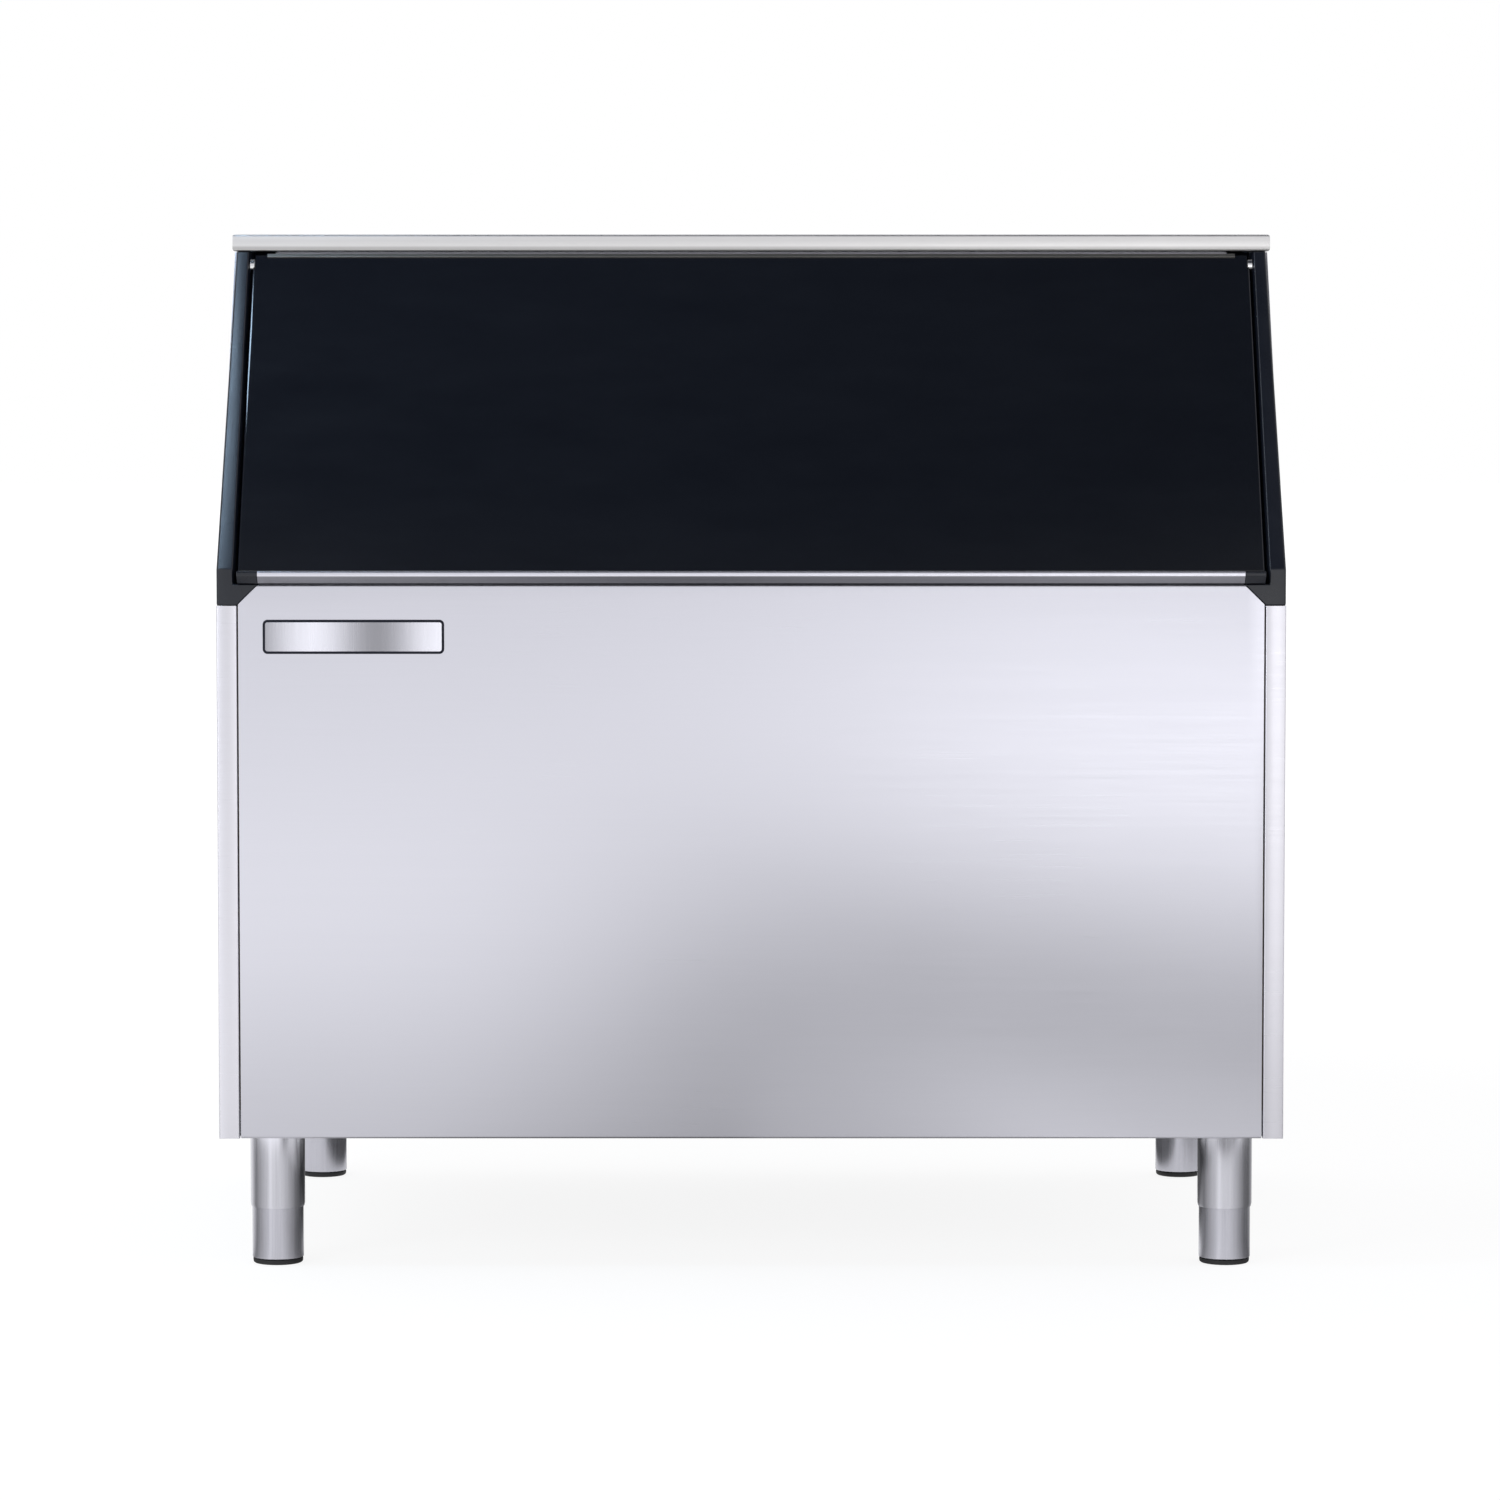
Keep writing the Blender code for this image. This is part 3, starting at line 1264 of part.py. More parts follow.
STAINLESS = material("brushed_stainless", (0.62, 0.62, 0.65), 0.32, 1.0)
POLISHED = material("polished_stainless", (0.66, 0.66, 0.68), 0.16, 1.0)
ZINC = material("galvanised_sheet", (0.52, 0.54, 0.56), 0.45, 1.0)
BLACK_GLOSS = material("black_gloss_plastic", (0.010, 0.012, 0.017), 0.08)
BLACK_SATIN = material("black_moulded_plastic", (0.022, 0.024, 0.030), 0.28)
WHITE_PLASTIC = material("white_liner_plastic", (0.80, 0.81, 0.82), 0.40)
FOAM = material("insulation_foam", (0.74, 0.66, 0.42), 0.90)
NYLON = material("pivot_nylon", (0.55, 0.56, 0.58), 0.50)
RUBBER = material("black_rubber", (0.018, 0.018, 0.020), 0.75)

SIDES = (("left", -1), ("right", 1))

make_front_panel()
make_sill_stiffener()
make_back_panel()
make_base_pan()
make_rim()
make_liner()
make_insulation()
make_header()
make_deflector()
make_drain()
make_frame_seal()
for hand, side in SIDES:
    make_side_panel(hand, side)
    make_door_frame(hand, side)
    make_hinge_pin(hand, side)

door_pivot = empty("door_pivot", (0, PIVOT_Y, PIVOT_Z), -SLOPE)
make_door_shell(door_pivot)
make_inner_skin(door_pivot)
make_door_core(door_pivot)
make_top_strip(door_pivot)
make_handle_rail(door_pivot)
for hand, side in SIDES:
    make_door_bumper(hand, side, door_pivot)
    make_handle_end(hand, side, door_pivot)
    make_hinge_bush(hand, side, door_pivot)

for name, x, y in leg_places():
    make_leg_plate(name, x, y)
    make_leg_sleeve(name, x, y)
    make_foot(name, x, y)

for number, place in enumerate(thumb_places(), 1):
    make_deflector_screw(number, place)
for number, place in enumerate(back_screw_places(), 1):
    make_screw(f"back_screw_{number}", place, SHEET + TOUCH + SHEET)
for number, place in enumerate(frame_screw_places(), 1):
    make_screw(f"frame_screw_{number}", place, LINER_FRONT + LINER - SEAT_DEPTH, None, ON_SLOPE)
for number, place in enumerate(rail_screw_places(), 1):
    make_screw(f"handle_screw_{number}", place, RAIL_SCREW_LENGTH, door_pivot, IN_DOOR)
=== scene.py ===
# %% [markdown]
# # A stainless ice storage bin
# This lesson dresses a bin that holds ice under an ice machine: a brushed steel cabinet on four
# legs, with a black lift-up door on its sloping front. It could all be modelled again from
# nothing, but the solids already have their true shapes and sizes. So they are loaded and kept,
# and the work here is what the eye reads next: the grain of the steel, the gloss of the door, the
# tiny rounded edges that catch light, and a few small pieces made finer than the solids.
# Lengths are in metres, +X is to the viewer's right, +Y to the back and +Z up.

# %% Load the solids and keep their box
import math

import bmesh
import bpy
from mathutils import Matrix, Vector


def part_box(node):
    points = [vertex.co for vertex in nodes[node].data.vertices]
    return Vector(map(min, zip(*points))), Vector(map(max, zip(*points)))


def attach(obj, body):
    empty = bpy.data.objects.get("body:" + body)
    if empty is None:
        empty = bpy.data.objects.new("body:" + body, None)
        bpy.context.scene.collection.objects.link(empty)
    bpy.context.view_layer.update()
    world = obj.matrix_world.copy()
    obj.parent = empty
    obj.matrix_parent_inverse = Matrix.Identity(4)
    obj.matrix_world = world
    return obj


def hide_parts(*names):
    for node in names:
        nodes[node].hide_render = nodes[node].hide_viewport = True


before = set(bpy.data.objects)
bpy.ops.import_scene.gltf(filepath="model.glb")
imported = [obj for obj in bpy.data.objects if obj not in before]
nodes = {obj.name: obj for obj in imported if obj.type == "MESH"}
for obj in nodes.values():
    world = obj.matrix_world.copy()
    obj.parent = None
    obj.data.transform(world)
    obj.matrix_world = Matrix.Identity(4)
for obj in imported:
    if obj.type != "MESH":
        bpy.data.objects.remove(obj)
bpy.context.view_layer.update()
scene = bpy.context.scene
MM = 1000


# %% [markdown]
# ## Writing a finish as a graph
# A finish in Blender is a graph of nodes. It could be drawn by hand in the shader editor, but
# written down it can be read, changed and made again. The first helper adds one node and fills
# its sockets, from a number, a colour or another node's output. The second starts a finish: what
# is the same all over a surface is set on the shader itself, and the rest is linked later.

# %% Nodes and new finishes
def add_node(tree, kind, inputs=None, **settings):
    """Adds a node, sets its options, and fills its inputs from values or other outputs."""
    made = tree.nodes.new(kind)
    for name, value in settings.items():
        setattr(made, name, value)
    for name, value in (inputs or {}).items():
        if isinstance(value, bpy.types.NodeSocket):
            tree.links.new(value, made.inputs[name])
        else:
            made.inputs[name].default_value = value
    return made


def new_finish(name, **constants):
    """An empty Principled material, with the sockets that stay the same all over the surface."""
    finish = bpy.data.materials.new(name)
    finish.use_nodes = True
    shader = finish.node_tree.nodes["Principled BSDF"]
    for socket, value in constants.items():
        shader.inputs[socket.replace("_", " ")].default_value = value
    return finish, finish.node_tree, shader


print("node helpers ready")

# %% [markdown]
# ## Noise that stays on its piece
# A grain has to stay on its metal when the door swings up, so every pattern is placed by the
# piece's own coordinates, in metres. A picture of steel could be unwrapped onto each piece
# instead, but it would show seams and repeat. Noise that is stretched far along one axis makes a
# grain, and plain noise makes a speckle. A range then turns noise into tone, roughness or height.

# %% Places, noise and ranges
def place_on(tree, stretch=(1, 1, 1)):
    """The piece's own coordinates in metres, stretched along each axis."""
    coords = add_node(tree, "ShaderNodeTexCoord").outputs["Object"]
    return add_node(tree, "ShaderNodeMapping", {
        "Vector": coords, "Scale": stretch}).outputs["Vector"]


def noise(tree, vector, scale=1.0, detail=2.0, roughness=0.5):
    """Soft noise between 0 and 1."""
    return add_node(tree, "ShaderNodeTexNoise", {
        "Vector": vector, "Scale": scale, "Detail": detail, "Roughness": roughness,
    }).outputs["Fac"]


def spread(tree, value, low, high, start=0.3, end=0.7, clamp=True):
    """Goes evenly from low to high while a value goes from start to end, 0.3 to 0.7 for noise."""
    return add_node(tree, "ShaderNodeMapRange", {
        "Value": value, "From Min": start, "From Max": end, "To Min": low, "To Max": high,
    }, clamp=clamp).outputs["Result"]


def ease(tree, value, start, end, low=0.0, high=1.0):
    """Goes smoothly from low to high while a value goes from start to end."""
    return add_node(tree, "ShaderNodeMapRange", {
        "Value": value, "From Min": start, "From Max": end, "To Min": low, "To Max": high,
    }, interpolation_type="SMOOTHSTEP").outputs["Result"]


print("pattern helpers ready")

# %% [markdown]
# ## Mixing patterns
# Real metal carries several marks at once, so patterns are added up, mixed into colours and
# raised as relief. A node group could be built for each mix, but short helpers read more easily
# and leave plain nodes in the finish. The Mix node keeps its colour sockets behind those for
# plain values, so they are picked by number.

# %% Sums, mixes and relief
MIX_FACTOR, MIX_COLOURS, MIX_RESULT = 0, (6, 7), 2


def math_node(tree, operation, *values):
    """One step of arithmetic."""
    return add_node(tree, "ShaderNodeMath", dict(enumerate(values)), operation=operation).outputs[0]


def add_values(tree, *values):
    """The sum of several values."""
    total = values[0]
    for value in values[1:]:
        total = math_node(tree, "ADD", total, value)
    return total


def blend_values(tree, factor, first, second):
    """Mixes two values by a factor."""
    return add_node(tree, "ShaderNodeMix", {"Factor": factor, "A": first, "B": second},
                    data_type="FLOAT").outputs[0]


def blend_colours(tree, factor, *colours):
    """Mixes two colours by a factor."""
    filled = {MIX_FACTOR: factor}
    for socket, colour in zip(MIX_COLOURS, colours):
        filled[socket] = colour if isinstance(colour, bpy.types.NodeSocket) else (*colour, 1)
    return add_node(tree, "ShaderNodeMix", filled, data_type="RGBA").outputs[MIX_RESULT]


def bump(tree, shader, height, depth, strength=1.0):
    """Raises a height of 0 to 1 by a depth in metres."""
    bumped = add_node(tree, "ShaderNodeBump", {
        "Height": height, "Distance": depth, "Strength": strength})
    tree.links.new(bumped.outputs["Normal"], shader.inputs["Normal"])


print("mixing helpers ready")

# %% [markdown]
# ## Which way the grain runs
# Each sheet is brushed one way, and its scratches scatter light mostly across that way, which
# draws a highlight out into a band. The scratches could be cut into the mesh, but there are far
# too many of them. Instead the noise is stretched along the grain, and the shader's tangent
# points across it. On folded sheets one fixed direction does, and round a tube it turns with the
# surface.

# %% Grain stretch and direction
HAIR_LENGTH, HAIR_SPACING = 0.09, 0.0006


def grain_scale(grain, along, across):
    """Noise frequencies for a grain that runs along the axes named in 'grain'."""
    return [1 / along if axis in grain else 1 / across for axis in "XYZ"]


def across_grain(tree, grain):
    """The direction in the surface that crosses the grain, where scratches scatter light most."""
    if grain == "Z":
        facing = tree.nodes.new("ShaderNodeNewGeometry").outputs["Normal"]
        return add_node(tree, "ShaderNodeVectorMath", {0: facing, 1: (0, 0, 1)},
                        operation="CROSS_PRODUCT").outputs["Vector"]
    crossing = (0.0, 1.0, 1.0) if grain == "X" else (0.0, 0.0, 1.0)
    return add_node(tree, "ShaderNodeCombineXYZ", dict(zip("XYZ", crossing))).outputs["Vector"]


print("hairs per metre along X, Y and Z",
      [round(value) for value in grain_scale("X", HAIR_LENGTH, HAIR_SPACING)])

# %% [markdown]
# ## Brushed stainless steel
# Sheet steel for kitchens is brushed with a fine belt. Up close that is thousands of hair-thin
# scratches, about half a millimetre apart and some centimetres long; from a step away it is a
# satin sheen with faint long streaks. A photograph of steel could be laid over each sheet, but a
# noise never repeats and works at any size. Three are laid over each other: hair scratches, wider
# streaks, and slow clouds where hands and cloths have been.

# %% Brushed steel
STEEL_DARK = (0.603, 0.602, 0.662)
STEEL_LIGHT = (0.683, 0.682, 0.745)
STREAK_LENGTH, STREAK_SPACING = 0.80, 0.004
CLOUD_SCALE = 3.5
TONE_BASE, HAIR_TONE, STREAK_TONE, CLOUD_TONE = 0.1, 0.35, 0.10, 0.12
HAIR_ROUGH, STREAK_ROUGH, CLOUD_ROUGH = 0.045, 0.01, 0.008
HAIR_DEPTH = 0.000003


def tinted(colour, tint):
    """A colour times a tint, channel by channel."""
    return [level * share for level, share in zip(colour, tint)]


def brushed_steel(name, grain, roughness=0.30, tint=(1, 1, 1), contrast=1.0, stretch=0.5,
                  shade=None):
    """Brushed steel whose grain runs along the named axes, with painted light and shade from
    'shade' over its colour.
    """
    finish, tree, shader = new_finish(name, Metallic=1.0, Anisotropic=stretch)
    hair = noise(tree, place_on(tree, grain_scale(grain, HAIR_LENGTH, HAIR_SPACING)), detail=3)
    streak = noise(tree, place_on(tree, grain_scale(grain, STREAK_LENGTH, STREAK_SPACING)))
    cloud = noise(tree, place_on(tree), scale=CLOUD_SCALE, detail=4)
    tone = add_values(tree, spread(tree, hair, TONE_BASE, TONE_BASE + HAIR_TONE * contrast),
                      spread(tree, streak, 0, STREAK_TONE * contrast),
                      spread(tree, cloud, 0, CLOUD_TONE))
    colour = blend_colours(tree, tone, tinted(STEEL_DARK, tint), tinted(STEEL_LIGHT, tint))
    if shade:
        colour = add_node(tree, "ShaderNodeVectorMath", {0: colour, "Scale": shade(tree)},
                          operation="SCALE").outputs["Vector"]
    tree.links.new(colour, shader.inputs["Base Color"])
    uneven = HAIR_ROUGH * min(contrast, 1)
    rough = add_values(tree, spread(tree, hair, roughness - uneven, roughness + uneven),
                       spread(tree, streak, -STREAK_ROUGH, STREAK_ROUGH),
                       spread(tree, cloud, -CLOUD_ROUGH, CLOUD_ROUGH))
    tree.links.new(rough, shader.inputs["Roughness"])
    tree.links.new(across_grain(tree, grain), shader.inputs["Tangent"])
    bump(tree, shader, hair, HAIR_DEPTH)
    return finish


front_steel = brushed_steel("steel_brushed_across", "X", contrast=0.4)
side_steel = brushed_steel("steel_side_sheet", "XY", tint=(1.06, 1.05, 1.03), contrast=0.5)
strip_steel = brushed_steel("steel_door_strip", "X", roughness=0.34, tint=(0.66, 0.64, 0.54))
print("sheet steels", front_steel.name, side_steel.name, strip_steel.name)

# %% [markdown]
# ## Painted highlight and shade on the rim and the rail
# The rim's upper edge gets a painted highlight. Its lower edge, where it curls under, gets painted
# shade, and the handle rail's underside, which slants back, gets much deeper painted shade. All of
# this is painted into the steel's colour. It could be painted on by hand, face by face. Here the
# metal's own height and the tilt of each face place it, and both stay on the metal when the door
# swings up.

# %% Rim and rail steel
RIM_TALL = 0.020
RIM_CURL_SHADE, RIM_EDGE_HIGHLIGHT = 0.66, 1.38
RIM_CURL_LOW, RIM_CURL_HIGH = 0.0042, 0.0070
EDGE_TILT = (0.05, 0.30)
FLAT_TILT = (0.90, 0.99)
RAIL_SLANT_TALL = 0.008
RAIL_LOW_SHADE, RAIL_TOP_SHADE = 0.47, 0.49
DOWN_TILT = (-0.25, -0.60)


def height_and_tilt(tree):
    """A point's height on its piece, and its face's tilt, from 1 looking up to -1 down."""
    own = tree.nodes.new("ShaderNodeTexCoord")
    return [add_node(tree, "ShaderNodeSeparateXYZ", {0: own.outputs[kind]}).outputs["Z"]
            for kind in ("Object", "Normal")]


def rim_painted_light(tree):
    """1 on the rim's upright face, a painted highlight on its upper edge, painted shade where it
    curls under.
    """
    height, tilt = height_and_tilt(tree)
    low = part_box("top_rim")[1].z - RIM_TALL
    curl = spread(tree, height, RIM_CURL_SHADE, 1, low + RIM_CURL_LOW, low + RIM_CURL_HIGH)
    edge_highlight = add_values(tree, spread(tree, tilt, 1, RIM_EDGE_HIGHLIGHT, *EDGE_TILT),
                        spread(tree, tilt, 0, 1 - RIM_EDGE_HIGHLIGHT, *FLAT_TILT))
    return math_node(tree, "MULTIPLY", curl, edge_highlight)


def rail_painted_shade(tree):
    """1 on faces that look out, and painted shade on faces that look down, darker towards their low
    back.
    """
    height, tilt = height_and_tilt(tree)
    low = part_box("handle_rail")[0].z
    beneath = spread(tree, height, RAIL_LOW_SHADE, RAIL_TOP_SHADE, low, low + RAIL_SLANT_TALL)
    return blend_values(tree, spread(tree, tilt, 0, 1, *DOWN_TILT), 1.0, beneath)


# The rim steel carries a painted highlight on its upper edge and painted shade on its lower edge;
# the rail steel carries painted shade on its underside.
rim_steel = brushed_steel("steel_cap", "X", roughness=0.34, tint=(1.03, 1.02, 0.93),
                          shade=rim_painted_light)
rail_steel = brushed_steel("steel_rail", "X", tint=(1.05, 1.05, 1.05), shade=rail_painted_shade)
print("edge steels", rim_steel.name, rail_steel.name)

# %% [markdown]
# ## Tube steel for the legs
# The legs are drawn tube, polished along their length and handled when the bin is set level, so
# they are shinier than the sheet and show their scratches more. A new shader could be written for
# them, but the brushed steel has what they need once its grain runs up the tube, with less
# roughness and more contrast. The inner tubes are a shade duller than the outer ones.

# %% Leg steel
leg_steel = brushed_steel("steel_leg_tube", "Z", roughness=0.16, contrast=2.2, stretch=0.2)
foot_steel = brushed_steel("steel_leg_foot", "Z", roughness=0.22, tint=(0.88, 0.88, 0.89),
                           contrast=2.2, stretch=0.2)
print("leg steels", leg_steel.name, foot_steel.name)

# %% [markdown]
# ## Turned steel
# Pivot pins and screws are turned on a lathe and left bright, with tool marks too fine to follow
# one by one and a few worn spots. Rings of geometry would show from close by only, so two noises
# stand for the marks and the wear, and a very low relief breaks up the shine.

# %% Turned steel
TURNED_DARK, TURNED_LIGHT = (0.62, 0.62, 0.63), (0.76, 0.76, 0.77)
TOOL_MARK_SCALE, TOOL_MARK_ROUGH, TOOL_MARK_DEPTH = 900, (0.12, 0.22), 0.00001
WEAR_SCALE, WEAR_ROUGH = 120, (-0.02, 0.03)

turned_steel, tree, shader = new_finish("steel_turned", Metallic=1.0)
marks = noise(tree, place_on(tree), scale=TOOL_MARK_SCALE, detail=3)
wear = noise(tree, place_on(tree), scale=WEAR_SCALE, detail=2)
tree.links.new(blend_colours(tree, spread(tree, wear, 0, 1), TURNED_DARK, TURNED_LIGHT),
               shader.inputs["Base Color"])
tree.links.new(add_values(tree, spread(tree, marks, *TOOL_MARK_ROUGH),
                          spread(tree, wear, *WEAR_ROUGH)), shader.inputs["Roughness"])
bump(tree, shader, marks, TOOL_MARK_DEPTH)
print("pin and screw steel", turned_steel.name)

# %% [markdown]
# ## Galvanised sheet
# The hidden panels are zinc-coated. Zinc freezes in flat crystals called spangle, each a slightly
# different grey, with a chalky bloom over them. A photograph of such sheet would repeat. Voronoi
# cells have just this look, and the colour of each cell picks the shade of its crystal.

# %% Galvanised sheet
ZINC_DARK, ZINC_LIGHT = (0.46, 0.48, 0.50), (0.62, 0.635, 0.65)
SPANGLE, SPANGLE_TONE, SPANGLE_ROUGH, SPANGLE_DEPTH = 0.010, 0.6, (0.34, 0.48), 0.00001
CHALK_SCALE, CHALK_TONE, CHALK_ROUGH = 9, 0.4, (-0.03, 0.08)

zinc_sheet, tree, shader = new_finish("zinc_sheet", Metallic=1.0)
cells = add_node(tree, "ShaderNodeTexVoronoi", {"Vector": place_on(tree), "Scale": 1 / SPANGLE})
crystal = add_node(tree, "ShaderNodeSeparateColor", {0: cells.outputs["Color"]}).outputs[0]
chalk = noise(tree, place_on(tree), scale=CHALK_SCALE, detail=5)
tone = add_values(tree, spread(tree, crystal, 0, SPANGLE_TONE, 0, 1),
                  spread(tree, chalk, 0, CHALK_TONE))
tree.links.new(blend_colours(tree, tone, ZINC_DARK, ZINC_LIGHT), shader.inputs["Base Color"])
tree.links.new(add_values(tree, spread(tree, crystal, *SPANGLE_ROUGH, 0, 1),
                          spread(tree, chalk, *CHALK_ROUGH)), shader.inputs["Roughness"])
bump(tree, shader, crystal, SPANGLE_DEPTH)
print("spangle of", SPANGLE * MM, "mm in", zinc_sheet.name)

# %% [markdown]
# ## The door's gloss
# The door's skin is a glossy black sheet. It has almost no colour of its own, so what shows is
# what it mirrors, with faint swirls from wiping, a little dust, and a skin that is never
# perfectly flat. A plain black with one roughness would look like glass. Here the swirls and the
# dust vary the roughness, and a shallow wide noise bends the mirrored light.

# %% Gloss black
GLOSS_DARK, GLOSS_LIGHT = (0.0058, 0.0070, 0.0106), (0.0076, 0.0090, 0.0130)
SWIRL_STRETCH, SWIRL_SCALE, SWIRL_ROUGH = (2.0, 6.0, 6.0), 4, (0.055, 0.10)
DUST_SCALE, DUST_PEAKS, DUST_ROUGH = 1500, (0.55, 0.75), 0.03
SKIN_SCALE, SKIN_DEPTH, SKIN_STRENGTH = 55, 0.00003, 0.4

gloss_black, tree, shader = new_finish("black_gloss_sheet", IOR=1.46)
swirl = noise(tree, place_on(tree, SWIRL_STRETCH), scale=SWIRL_SCALE, detail=6, roughness=0.65)
dust = noise(tree, place_on(tree), scale=DUST_SCALE, detail=1)
tree.links.new(blend_colours(tree, spread(tree, swirl, 0, 1), GLOSS_DARK, GLOSS_LIGHT),
               shader.inputs["Base Color"])
tree.links.new(add_values(tree, spread(tree, swirl, *SWIRL_ROUGH),
                          spread(tree, dust, 0, DUST_ROUGH, *DUST_PEAKS)),
               shader.inputs["Roughness"])
skin = noise(tree, place_on(tree), scale=SKIN_SCALE, detail=2)
bump(tree, shader, skin, SKIN_DEPTH, SKIN_STRENGTH)
print("door skin", gloss_black.name)

# %% [markdown]
# ## Moulded plastic and rubber
# The frame, the corner blocks, the pads and the nylon bushes come out of moulds that were etched
# with a fine spark texture, which scatters the light, and their tone is slightly uneven. Sculpting
# the texture would take more faces than the whole bin. A fine noise as relief shows the same at
# this distance, and one recipe serves black plastic, rubber and grey nylon.

# %% Moulded finishes
SATIN_DARK, SATIN_LIGHT = (0.0065, 0.0085, 0.0145), (0.0100, 0.0122, 0.0195)
RUBBER_DARK, RUBBER_LIGHT = (0.014, 0.014, 0.015), (0.024, 0.024, 0.025)
NYLON_DARK, NYLON_LIGHT = (0.50, 0.51, 0.53), (0.60, 0.61, 0.63)
PIT_ROUGH, PIT_STRENGTH = (-0.04, 0.05), 0.6
TONE_SCALE, TONE_ROUGH = 14, (-0.03, 0.04)


def moulded(name, dark, light, roughness, grain=0.0009, depth=0.00004):
    """Moulded plastic with a fine spark texture and slightly uneven tone."""
    finish, tree, shader = new_finish(name, IOR=1.45)
    pits = noise(tree, place_on(tree), scale=1 / grain, detail=2)
    tone = noise(tree, place_on(tree), scale=TONE_SCALE, detail=4)
    tree.links.new(blend_colours(tree, spread(tree, tone, 0, 1), dark, light),
                   shader.inputs["Base Color"])
    smooth, coarse = (roughness + change for change in PIT_ROUGH)
    tree.links.new(add_values(tree, spread(tree, pits, smooth, coarse),
                              spread(tree, tone, *TONE_ROUGH)), shader.inputs["Roughness"])
    bump(tree, shader, pits, depth, PIT_STRENGTH)
    return finish


satin_black = moulded("black_moulding", SATIN_DARK, SATIN_LIGHT, roughness=0.30)
rubber = moulded("rubber", RUBBER_DARK, RUBBER_LIGHT, roughness=0.62, grain=0.0006,
                 depth=0.00006)
grey_nylon = moulded("grey_nylon", NYLON_DARK, NYLON_LIGHT, roughness=0.45)
print("moulded", satin_black.name, rubber.name, grey_nylon.name)

# %% [markdown]
# ## The white liner
# The tub and the inside of the door are white food-safe plastic, drawn over a mould, so they
# carry a soft pebble, and the scoop leaves fine scuffs that run mostly across. Single scuffs
# could be drawn as strokes, but a long stretched noise with much fine detail gives hundreds at
# once, and only its peaks are taken.

# %% White plastic
LINER_WHITE, SCUFF_GREY = (0.80, 0.81, 0.82), (0.73, 0.74, 0.76)
PEBBLE_SCALE, PEBBLE_ROUGH = 260, (0.34, 0.42)
SCUFF_STRETCH, SCUFF_SCALE, SCUFF_PEAKS = (12, 90, 25), 3, (0.45, 0.75)
SCUFF_ROUGH, SCUFF_HEIGHT = (-0.03, 0.10), 0.4
RELIEF_DEPTH, RELIEF_STRENGTH = 0.00006, 0.5

white_plastic, tree, shader = new_finish("white_liner")
pebble = noise(tree, place_on(tree), scale=PEBBLE_SCALE, detail=2)
scuff = noise(tree, place_on(tree, SCUFF_STRETCH), scale=SCUFF_SCALE, detail=5, roughness=0.7)
tree.links.new(blend_colours(tree, spread(tree, scuff, 0, 1, *SCUFF_PEAKS), LINER_WHITE,
                             SCUFF_GREY), shader.inputs["Base Color"])
tree.links.new(add_values(tree, spread(tree, pebble, *PEBBLE_ROUGH),
                          spread(tree, scuff, *SCUFF_ROUGH)), shader.inputs["Roughness"])
relief = add_values(tree, pebble, spread(tree, scuff, 0, SCUFF_HEIGHT))
bump(tree, shader, relief, RELIEF_DEPTH, RELIEF_STRENGTH)
print("liner", white_plastic.name)

# %% [markdown]
# ## Foam
# Rigid foam fills the space between tub and casing, and the door. It only shows when the bin is
# taken apart: a cream solid full of small open cells. Each cell could be a hole in the mesh, but
# Voronoi cells give the same speckle as colour and relief, at no cost in faces.

# %% Foam
FOAM_CREAM, FOAM_DEEP = (0.76, 0.68, 0.46), (0.55, 0.48, 0.30)
FOAM_CELL_SCALE = 900
FOAM_DEPTH = 0.0002

foam, tree, shader = new_finish("foam", Roughness=0.9)
cells = add_node(tree, "ShaderNodeTexVoronoi", {
    "Vector": place_on(tree), "Scale": FOAM_CELL_SCALE}).outputs["Distance"]
tree.links.new(blend_colours(tree, cells, FOAM_CREAM, FOAM_DEEP), shader.inputs["Base Color"])
bump(tree, shader, cells, FOAM_DEPTH)
print("foam", foam.name)

# %% [markdown]
# ## Welding the solids
# Each solid keeps its shape, but its triangles arrive loose, and loose triangles can't be rounded
# or smoothed. They could be merged by hand in edit mode, which would change the mesh for good. A
# small geometry-nodes modifier does it on the fly: it welds the points, and shades smoothly
# across every edge flatter than 30 degrees.

# %% Weld and smooth
WELD_DISTANCE = 0.000002
SMOOTH_BELOW = math.radians(30)


def weld_group():
    """Geometry nodes that weld loose triangles and shade them smooth below an angle."""
    group = bpy.data.node_groups.new("weld_and_smooth", "GeometryNodeTree")
    for way in ("INPUT", "OUTPUT"):
        group.interface.new_socket("Geometry", in_out=way, socket_type="NodeSocketGeometry")
    start = group.nodes.new("NodeGroupInput").outputs[0]
    for attribute in ("custom_normal", "sharp_edge", "sharp_face"):
        start = add_node(group, "GeometryNodeRemoveAttribute",
                         {"Geometry": start, "Name": attribute}).outputs[0]
    welded = add_node(group, "GeometryNodeMergeByDistance",
                      {"Geometry": start, "Distance": WELD_DISTANCE}).outputs[0]
    angle = group.nodes.new("GeometryNodeInputMeshEdgeAngle").outputs["Unsigned Angle"]
    sharp = add_node(group, "FunctionNodeCompare", {0: angle, 1: SMOOTH_BELOW},
                     data_type="FLOAT", operation="GREATER_THAN").outputs[0]
    smooth = add_node(group, "GeometryNodeSetShadeSmooth",
                      {"Geometry": welded, "Shade Smooth": True}, domain="FACE").outputs[0]
    creased = add_node(group, "GeometryNodeSetShadeSmooth",
                       {"Geometry": smooth, "Selection": sharp, "Shade Smooth": False},
                       domain="EDGE").outputs[0]
    group.links.new(creased, group.nodes.new("NodeGroupOutput").inputs[0])
    return group


weld = weld_group()
print("weld group", weld.name, len(weld.nodes), "nodes")

# %% [markdown]
# ## Rounding the edges
# No real edge is perfectly sharp, and the thin bright line that a rounded edge catches is what
# makes sheet metal look like sheet metal. The solids could be rounded where they were built, but
# that would cost faces everywhere. A bevel modifier rounds only the real edges, by a fraction of
# a millimetre, once a planar dissolve has cleaned the flat faces.

# %% Edge rounding
FLAT_BELOW = math.radians(0.1)


